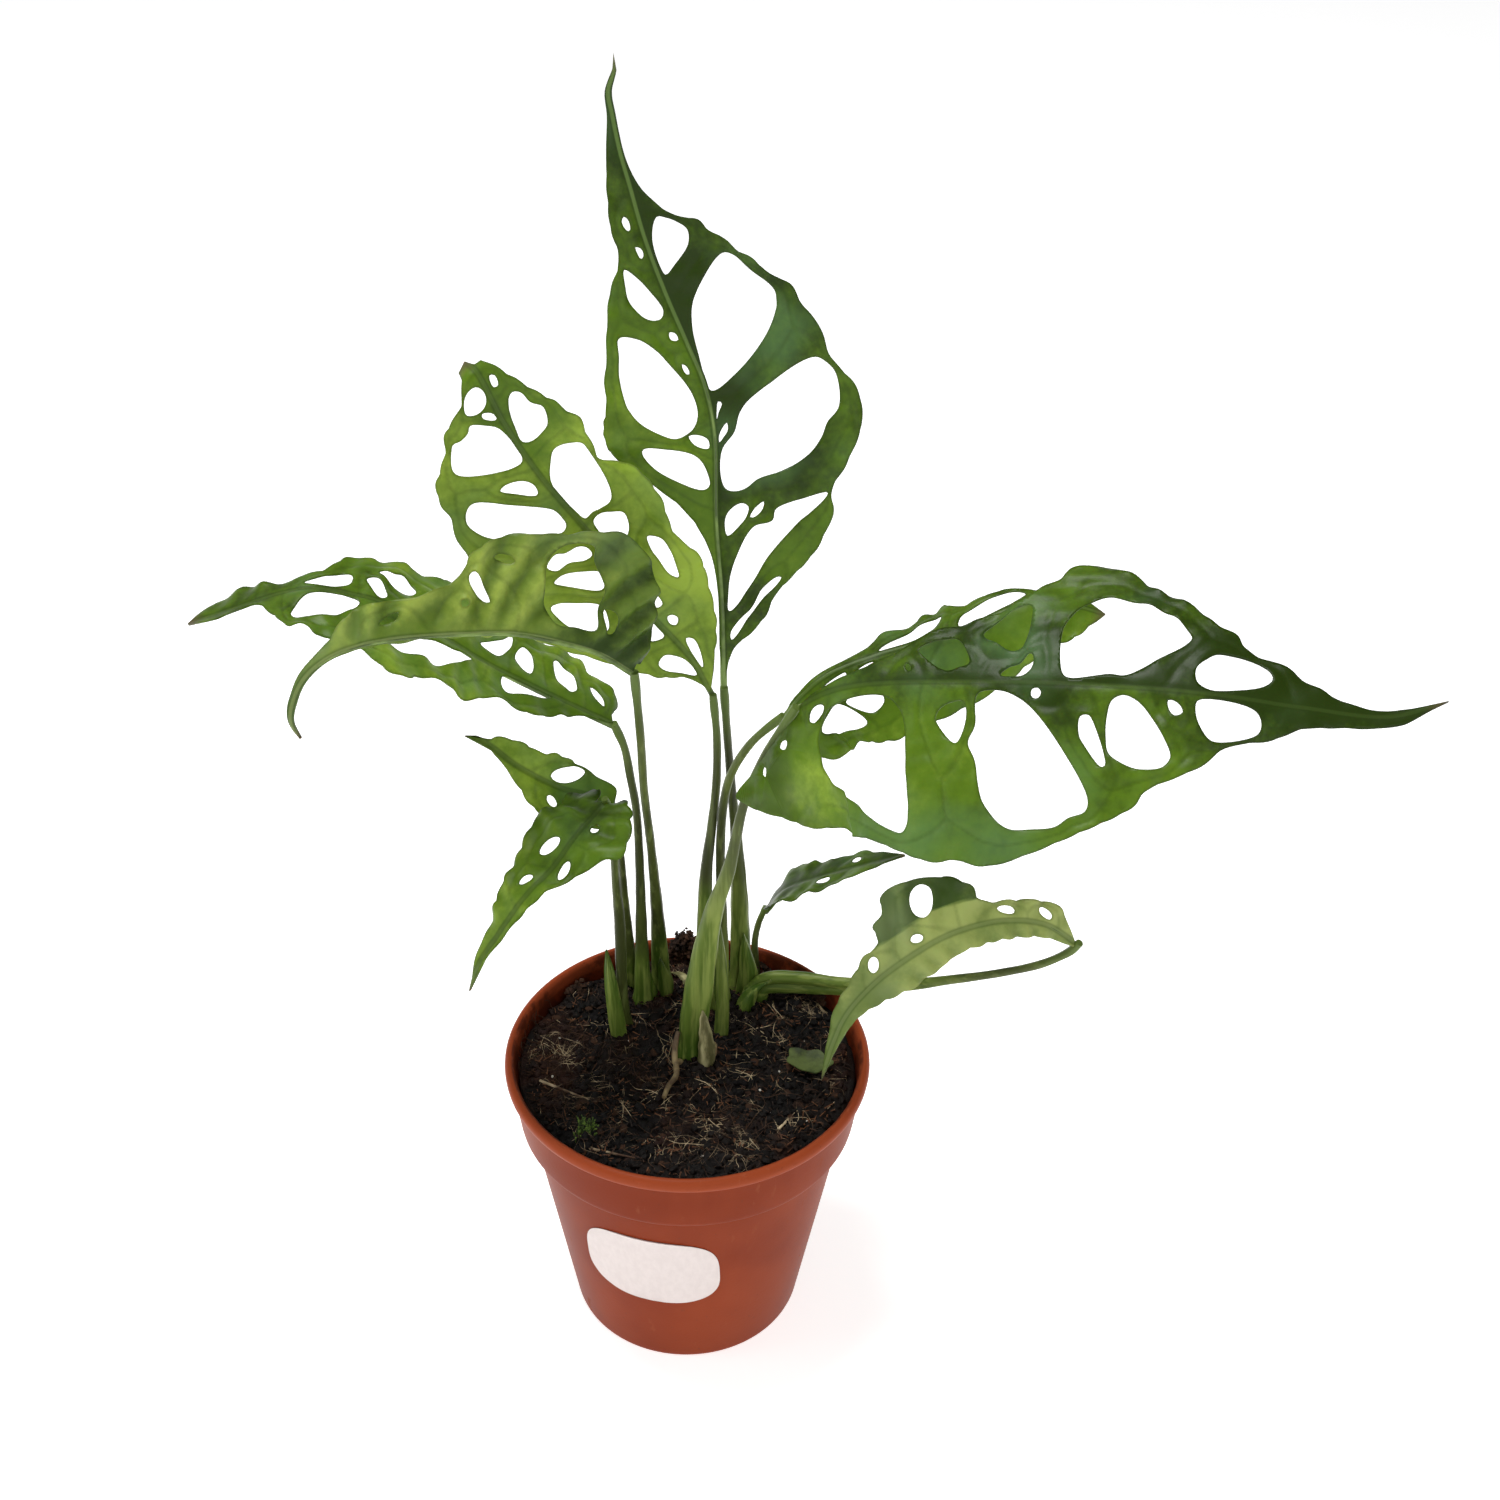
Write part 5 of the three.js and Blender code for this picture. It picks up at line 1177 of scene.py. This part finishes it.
# Leaf J hangs back towards the pot from the end of a stalk that lies to the right. It is creased
# over itself along a line, past which its right half is painted darker as shade.
make_leaf(
    "leaf_j",
    rib=[
        [123, 2, 152], [112, 0, 161], [97, -4, 165], [81, -10, 164], [69, -15, 159],
        [58, -19, 151], [50, -22, 141], [46, -23, 129], [43, -24, 115],
    ],
    face=[[0, -0.6, 0.8], [-0.1, -0.7, 0.7], [-0.4, -0.7, 0.5]],
    fold=[[-14, -14, 0], [10, 14, 8]],
    bend=[[-2, -3, 0], [-2, -2, 0]],
    left=[
        [0.5, 1.5], [13, 4], [31, 6], [45, 6.5], [55, 8], [65, 8.5], [74, 7], [85, 4], [96, 2.5],
        [105, 1.4],
    ],
    right=[
        [8, 5], [13, 7], [24, 6.5], [33, 6.5], [36, 8], [38, 13.5], [43, 17.5], [47, 18.5],
        [53, 21], [60, 20], [62, 15.5], [66, 14], [67, 9], [72, 8.5], [81, 5.5], [88, 4.5],
        [100, 2], [111, 1.4],
    ],
    left_holes=[],
    right_holes=[
        oval(72, 4.6, 5, 3.2, -51), oval(57, 3.6, 4, 2.6, 20), oval(28, 3.4, 6, 2.4, 12),
        oval(15, 3.4, 5, 2.6, 28), oval(51, 13, 10, 6, -75),
    ],
    tone=((0.38, 0.4, 0.16), (0.48, 0.44, 0.14)),
    frill=0.7, pale_rib=0.3, pleat=0.9,
    # Past the crease line the right half is painted darker as shade.
    turned=(0.7, [30, 37, 50, 62, 75], [8, 7.6, 8.6, 7.5, 9]),
    skins=[hanging, hanging],
)

# The stalks are round and fleshy. Each one opens low down into a grooved sheath, is brown-green
# and streaked above it, and swells again into a pale joint where it meets its blade.
STALK_SIDES = 28
STALK_GAP = 1.6
BURIED = (92, 95, 100.6)
GROOVE_DEPTH = 0.3
RIDGE_DEPTH = 0.025
JOINT_SWELL = 0.16
FOOT_FLARE = 0.4


def stem_shape(radii, path, widths=(1, 1), leafy=0):
    """A stem from deep in the soil to its tip; widths tell how much wider than round it is."""
    foot, *bends = path
    line = even_line([*((*foot, z) for z in BURIED), *bends], STALK_GAP)
    if leafy:
        ahead = line[-1] - line[-2]
        line = np.vstack([line, line[-1] + ahead / np.linalg.norm(ahead) * STALK_GAP])

    def shape(turn, share):
        wide = share_out(widths, max(0, share - 0.05) / 0.95)
        flat = 1 + (wide - 1) * np.cos(turn) ** 2
        open_up = np.clip((wide - 1) * 2.5, 0.15, 1) * leafy
        groove = 1 - GROOVE_DEPTH * open_up * np.exp(-((turn - math.pi / 2) ** 2) / 0.12)
        ridges = 1 + RIDGE_DEPTH * np.cos(turn * 7 + share * 3)
        joint = 1 + JOINT_SWELL * math.exp(-(((share - 0.97) / 0.03) ** 2)) * leafy
        flare = 1 + FOOT_FLARE * math.exp(-((max(0, share - 0.05) / 0.035) ** 2)) * leafy
        return flat * groove * ridges * joint * flare * (1 + 0.02 * math.sin(share * 60))

    share = np.linspace(0, 1, len(line))
    numbers = stem_numbers(share, share_out(widths, share), STALK_SIDES)
    return *tube(line, [radii[0], *radii], STALK_SIDES, shape), numbers


def stem_numbers(share, wide, count):
    """What the stalks' finish reads at each point: the share of the length, and how wide it is."""
    rows = np.column_stack([share, wide, np.zeros(len(share))])
    return {"stem_share": np.repeat(rows, count, axis=0)}


def stalk_finish(name, narrow, short):
    """Brown-green above, clear green on the open sheath, with streaks that run along the stalk."""
    finish = Finish(name, "5f6a33", 0.42, specular_ior_level=0.25)
    share = finish.stored("stem_share")
    cloud = finish.grain(60, stretch=short)
    streak = finish.grain(420, 3, stretch=narrow)
    finish.tone = finish.mix(finish.span(cloud, 0.35, 0.65), "3f5a17", "6f8236")
    finish.coat("9aa856", streak, 0.44, 0.64, end=0.55)
    green = finish.tone
    finish.tone = finish.mix(finish.span(cloud, 0.35, 0.7), "363c1a", "56622a")
    finish.coat("76834a", streak, 0.5, 0.7, end=0.45)
    finish.coat(green, finish.sum(share[1], finish.times(cloud, 0.3)), 1.15, 1.4)
    finish.coat("5a6e2e", share[0], 0.82, 0.99)
    finish.relief(finish.grain(260, 5, stretch=narrow), 0.18)
    return finish


upright = stalk_finish("stalk", (1, 1, 0.05), (1, 1, 0.25))
lying = stalk_finish("lying_stalk", (0.05, 1, 1), (0.25, 1, 1))
feet = []


def make_stalk(name, radii, path, widths=(1.4, 1.3, 1.1, 1, 1, 1, 1, 1, 1), finish=upright):
    """One stalk: its radii from the soil to its tip, where its foot is, and its course above it."""
    feet.append(path[0])
    shape = stem_shape(radii, path, widths, 1)
    make_piece(name + "_stalk", shape, [finish], [name], crease=60)


make_stalk(
    "leaf_a_petiole",
    radii=[2.6, 2.6, 2.1, 1.5, 1.3, 1.2],
    path=[
        [17, 40], [16.5, 37, 122], [15.5, 35, 149], [14.5, 33, 167], [12.5, 30, 192],
        [11, 27, 213], [10, 26, 228.2],
    ],
    widths=(1.5, 1.35, 1.2, 1.1, 1, 1, 1, 1, 1),
)
make_stalk(
    "leaf_b_petiole",
    radii=[2, 1.7, 1.9, 1.4, 1.3, 1.1],
    path=[
        [5, 26], [4.5, 25.5, 128], [5, 25, 160], [6.5, 24, 177], [8, 23, 197], [8, 22.5, 213],
        [6.8, 22, 228],
    ],
    widths=(1.6, 1.4, 1.5, 1.3, 1, 1, 1, 1, 1),
)
make_stalk(
    "leaf_c_petiole",
    radii=[2, 1.8, 1.5, 1.3, 1.3, 1.1],
    path=[
        [-16.5, 30], [-16.5, 28, 125], [-16.5, 23, 165], [-17, 19, 188], [-18.5, 16, 203],
        [-20, 14, 215], [-22.4, 12.2, 223.4],
    ],
)
make_stalk(
    "leaf_d_petiole",
    radii=[2.2, 1.9, 1.4, 1.3, 1.3, 1.2],
    path=[
        [-10.5, 38], [-11, 34, 123], [-11.5, 28, 145], [-12.5, 19, 174], [-14, 12, 200],
        [-14.5, 6, 224], [-15.6, 0.8, 248.6],
    ],
)
make_stalk(
    "leaf_e_petiole",
    radii=[3.2, 3.2, 2.8, 2.2, 1.7, 1.4, 1.4, 1.2],
    path=[
        [0.5, 4.5], [3, 3, 124], [5.5, 2, 146], [8.5, 0, 165], [12.5, -1, 180], [17, -4, 208],
        [23, -8, 228], [30.6, -11.6, 245.8],
    ],
    widths=(1.1, 1.5, 1.4, 1.25, 1.1, 1, 1, 1, 1),
)
make_stalk(
    "leaf_f_petiole",
    radii=[1.8, 1.7, 1.5, 1.4, 1.3, 1.1],
    path=[
        [10.5, 31], [10.5, 29, 124], [10, 27, 146], [9.5, 24, 169], [10.5, 19, 192],
        [13, 15, 206], [19, 11, 220], [27, 8.4, 230.2],
    ],
)
make_stalk(
    "leaf_g_petiole",
    radii=[2, 1.6, 1.2, 1.1, 1],
    path=[
        [-21.5, 38], [-21, 30, 125], [-21.5, 24, 148], [-22, 19, 168], [-22.5, 16, 180],
        [-23.6, 14.4, 189.6],
    ],
)
make_stalk(
    "leaf_h_petiole",
    radii=[2.4, 2.4, 1.8, 1.3, 1.2, 1],
    path=[
        [-22.5, 18], [-22.5, 15, 122], [-22.5, 12, 149], [-23, 7, 169], [-23, 2, 188],
        [-23.6, -1, 201], [-24.6, -1.8, 205.4],
    ],
    widths=(1.2, 0.85, 0.72, 0.85, 1, 1, 1, 1, 1),
)
make_stalk(
    "leaf_i_petiole",
    radii=[1.3, 1.2, 1.1, 1],
    path=[[22, 47], [21.5, 49, 112], [22.6, 51, 118], [24.4, 51.9, 123]],
)
make_stalk(
    "leaf_j_petiole",
    radii=[2, 2, 1.9, 1.7, 1.4, 1.3, 1.3, 1.2],
    path=[
        [22, 33], [22.4, 33, 103.5], [26, 33, 106.5], [36, 32.5, 107.5], [52.5, 28, 110],
        [70.5, 22, 116], [86, 16, 124], [101.5, 10, 132.5], [114, 5, 141], [121.6, 3.2, 147.6],
        [123.4, 2.2, 151],
    ],
    widths=(1.7, 2.3, 1.9, 1.5, 1.25, 1.1, 1, 1, 1),
    finish=lying,
)

# A brown aerial root comes out between the stalks and dips to the soil, and the stub of an old
# stalk stands where it was cut off. Both are dry, rough and corky.
AERIAL_ROOT = [
    [-2.4, -1], [-3.6, -4, 102.4], [-3.4, -8.5, 101.5], [-5.6, -13, 101.3], [-7, -18.6, 101.3],
]
CUT_STUB = [[7.4, 2.6], [7.6, 2.4, 102], [7.8, 2.2, 105.5]]
SHOULDER = [(-3.2, 2.2, 111), (-4.1, 0, 107), (-4.2, -2.4, 103.6), (-3.6, -4.6, 102.2)]
feet += [AERIAL_ROOT[0], CUT_STUB[0]]
root_bark = Finish("root_bark", "5a4730", 0.6)
root_bark.coat("9a875f", root_bark.grain(200, 4, stretch=(1, 1, 0.4)))
root_bark.relief(root_bark.grain(700), 0.2)
root = stem_shape([1.1, 1, 0.9, 0.7], AERIAL_ROOT)
make_piece("aerial_root_skin", root, [root_bark], ["aerial_root"], crease=60)
stub = stem_shape([2, 2, 1.8], CUT_STUB)
make_piece("cut_stub_skin", stub, [root_bark], ["cut_stub"], crease=60)
shoulder = tube(even_line(SHOULDER, 0.7), [0.7, 1, 1.05, 1], 14)
make_piece("root_shoulder", shoulder, [root_bark], crease=180)

# Where the stalks leave the soil, the open sheaths of older stalks are wrapped round them, and the
# dry end of one that was cut off stands in front. They are thin, grooved and pointed, and a short
# flat runner arches over the soil behind them.
SHEATH_THICK = 0.5
SHEATH_POINTS = 17
SHEATHS = {
    "sheath_left": (
        [(-23.6, 13, 99), (-24.6, 12.5, 110), (-25.8, 12, 123), (-27, 12, 137)],
        (5.4, 5.6, 5, 4.4, 3.2, 0.8), 0.6, 1.5,
    ),
    "sheath_left_back": (
        [(-14, 33, 99), (-15, 31, 107), (-16, 30, 116), (-16.5, 29, 122)],
        (6, 5.5, 4, 2.5, 0.6), 0.8, 1.4,
    ),
    "sheath_right_of_d": (
        [(-9, 34, 99), (-9, 33, 106), (-10, 32, 113), (-10.5, 31, 118)],
        (5, 5.5, 4.4, 2.8, 0.6), 0.8, 1.35,
    ),
    "sheath_middle": (
        [(10.6, 14, 99), (11, 15, 110), (10.6, 16, 126), (9.8, 17, 144)],
        (5, 4.6, 4, 3, 0.6), 0.9, 1.15,
    ),
    "runner": (
        [(-9, 46, 98.5), (-6, 43, 102), (-3.5, 41, 102.5), (-0.5, 38, 99)],
        (2.4, 3, 3, 2.4), 0.5, 1.5,
    ),
    "sheath_back": (
        [(19, 36, 99), (19.5, 35, 108), (18.5, 34, 118), (17.5, 33, 128)],
        (8, 7.4, 5.6, 3.6, 0.6), 0.7, 1.4,
    ),
    "sheath_fold": (
        [(18, 27, 98.5), (19.5, 28, 104), (22.5, 29, 108.5), (27, 30, 110.5)],
        (6.5, 6.2, 4.6, 0.8), 0.8, 1.5,
    ),
    "dry_sheath": (
        [(6, -0.9, 99), (6.3, -1.2, 106), (5.8, -1.2, 114), (4.8, -0.8, 123)],
        (5, 5.8, 5.4, 5.7, 4.6, 4.4, 3.2, 2.6, 0.6), 1, 1.5,
    ),
}


def make_sheath(path, widths, bow, greenness):
    """A thin pointed sheath along a path: flat across, bowed round the stalk, closed all round."""
    line = even_line(path, 1)
    share = np.linspace(0, 1, len(line))
    across = np.linspace(-1, 1, SHEATH_POINTS)
    rows = []
    for spot, s, half in zip(line, share, share_out(widths, share) / 2):
        y = -bow * half * np.cos(across * math.pi / 2) + 0.12 * np.sin(across * 14)
        z = -0.8 * s * np.abs(across)
        rows.append(spot + np.column_stack([across * half, y, z]))
    front = np.vstack(rows)
    faces = quads(len(line), SHEATH_POINTS, closed=False)
    numbers = stem_numbers(share * 0.3, np.full(len(line), greenness), SHEATH_POINTS)
    return *join_faces(front, front + [0, SHEATH_THICK, 0], faces), both_sides(numbers)


dry_skin = Finish("dry_skin", "5d5a30", 0.7)
dry_skin.coat("c2bb88", dry_skin.grain(240, stretch=(1, 1, 0.3)))
dry_skin.relief(dry_skin.grain(400, stretch=(1, 1, 0.2)), 0.3)
for name, sheath in SHEATHS.items():
    skin = dry_skin if name in ("runner", "dry_sheath") else upright
    make_piece(name, make_sheath(*sheath), [skin], crease=60)

# Crumbs of wet peat cling round the feet of the stalks, the root and the stub, where watering has
# washed them together.
CLINGING = 46
clinging = []
for foot_x, foot_y in feet:
    for _ in range(CLINGING):
        turn, reach = dice.uniform(0, 2 * math.pi), dice.uniform(1.6, 4.8)
        x, y = foot_x + reach * math.cos(turn), foot_y + reach * math.sin(turn)
        rise = dice.uniform(0, 1.5) * (1 - (reach - 1.6) / 3.2)
        clinging.append(crumb(on_soil(x, y, rise), dice.uniform(0.3, 0.85), finer=0))
make_piece("foot_crumbs", gather(clinging), [peat], crease=40)

# A withered scrap of an old leaf lies on the soil at the right. It is dull green-brown, dry, and
# curled up at its edges.
SCRAP_SPOT = (40, -1, 101.3)
SCRAP_HALF = (7.6, 5.2)
SCRAP_TURN = math.radians(-20)
SCRAP_THICK = 0.4
SCRAP_POINTS = 60


def make_scrap():
    """A small sheet with a lobed edge, which curls up from its middle."""
    lobes = 1 + 0.1 * np.sin(5 * turns(SCRAP_POINTS) + 1)
    loop = circle(1, SCRAP_POINTS) * SCRAP_HALF * lobes[:, None]
    flat, faces = fill_inside(loop, (9, 7), 0.7)
    x, y = flat.T
    lift = 0.03 * x**2 + 0.25 * np.sin(x * 1.1) + 0.03 * y**2
    under = np.column_stack([*turned(x, y, SCRAP_TURN), lift]) + SCRAP_SPOT
    return join_faces(under + [0, 0, SCRAP_THICK], under, faces)


withered = Finish("withered_leaf", "2f3a17", 0.6)
withered.coat("5f6d36", withered.grain(130, 5))
withered.relief(withered.grain(500), 0.3)
make_piece("withered_scrap", make_scrap(), [withered], ["soil_leaf_scrap"], crease=60)

# The plant stands alone on a plain white studio floor, under three broad soft lights, with a white
# surround that is brightest at the height of the floor. These are set in metres.
FLOOR_HALF = 40
LIGHT_TARGET = Vector((0, 0, 0.2))
LIGHTS = {
    "top_light": ((-0.25, 0.1, 1.5), 0.55, 14),
    "front_light": ((0.5, -1.3, 1.1), 0.7, 4),
    "left_light": ((-1.3, -0.3, 0.9), 0.7, 3),
}
SURROUND = {"From Min": 0.16, "From Max": 0.4, "To Min": 0.98, "To Max": 0.12}

scene = bpy.context.scene
glow = dict(emission_color=(1, 1, 1, 1), emission_strength=0.7)
white = Finish("studio_white", "ffffff", 0.9, specular_ior_level=0, **glow)
floor_mesh = bpy.data.meshes.new("studio_floor")
corners = [(x * FLOOR_HALF, y * FLOOR_HALF, 0) for x, y in ((-1, -1), (1, -1), (1, 1), (-1, 1))]
floor_mesh.from_pydata(corners, [], [(0, 1, 2, 3)])
floor_mesh.materials.append(white.material)
floor = bpy.data.objects.new("studio_floor", floor_mesh)
scene.collection.objects.link(floor)

for name, (place, size, power) in LIGHTS.items():
    lamp = bpy.data.lights.new(name, "AREA")
    lamp.shape = "DISK"
    lamp.size = size
    lamp.energy = power
    light = bpy.data.objects.new(name, lamp)
    light.location = place
    light.rotation_euler = (LIGHT_TARGET - Vector(place)).to_track_quat("-Z", "Y").to_euler()
    scene.collection.objects.link(light)

surround = bpy.data.worlds.new("studio_surround")
surround.use_nodes = True
nodes, links = surround.node_tree.nodes, surround.node_tree.links
nodes["Background"].inputs["Color"].default_value = (1, 1, 1, 1)
height = nodes.new("ShaderNodeSeparateXYZ")
fade = nodes.new("ShaderNodeMapRange")
for socket, value in SURROUND.items():
    fade.inputs[socket].default_value = value
links.new(nodes.new("ShaderNodeTexCoord").outputs["Generated"], height.inputs[0])
links.new(height.outputs["Z"], fade.inputs["Value"])
links.new(fade.outputs["Result"], nodes["Background"].inputs["Strength"])
scene.world = surround
scene.view_settings.view_transform = "Standard"

# The camera stands in front of the pot and looks down at it, a little tilted, as the photograph
# was taken. Its place is in metres.
EYE = (0.0183, -0.4923, 0.5532)
AHEAD = Vector((0, 0.8315, -0.5556))
LEVEL_UP = Vector((0, 0.5556, 0.8315))
LEVEL_RIGHT = Vector((1, 0, 0))
ROLL = math.radians(1.27)

lens = bpy.data.cameras.new("photo_camera")
lens.lens = 48
lens.sensor_width = 36
lens.clip_end = 200
camera = bpy.data.objects.new("photo_camera", lens)
right = LEVEL_RIGHT * math.cos(ROLL) + LEVEL_UP * math.sin(ROLL)
upward = LEVEL_UP * math.cos(ROLL) - LEVEL_RIGHT * math.sin(ROLL)
camera.matrix_world = Matrix([*zip(right, upward, -AHEAD, EYE), (0, 0, 0, 1)])
scene.collection.objects.link(camera)
scene.camera = camera
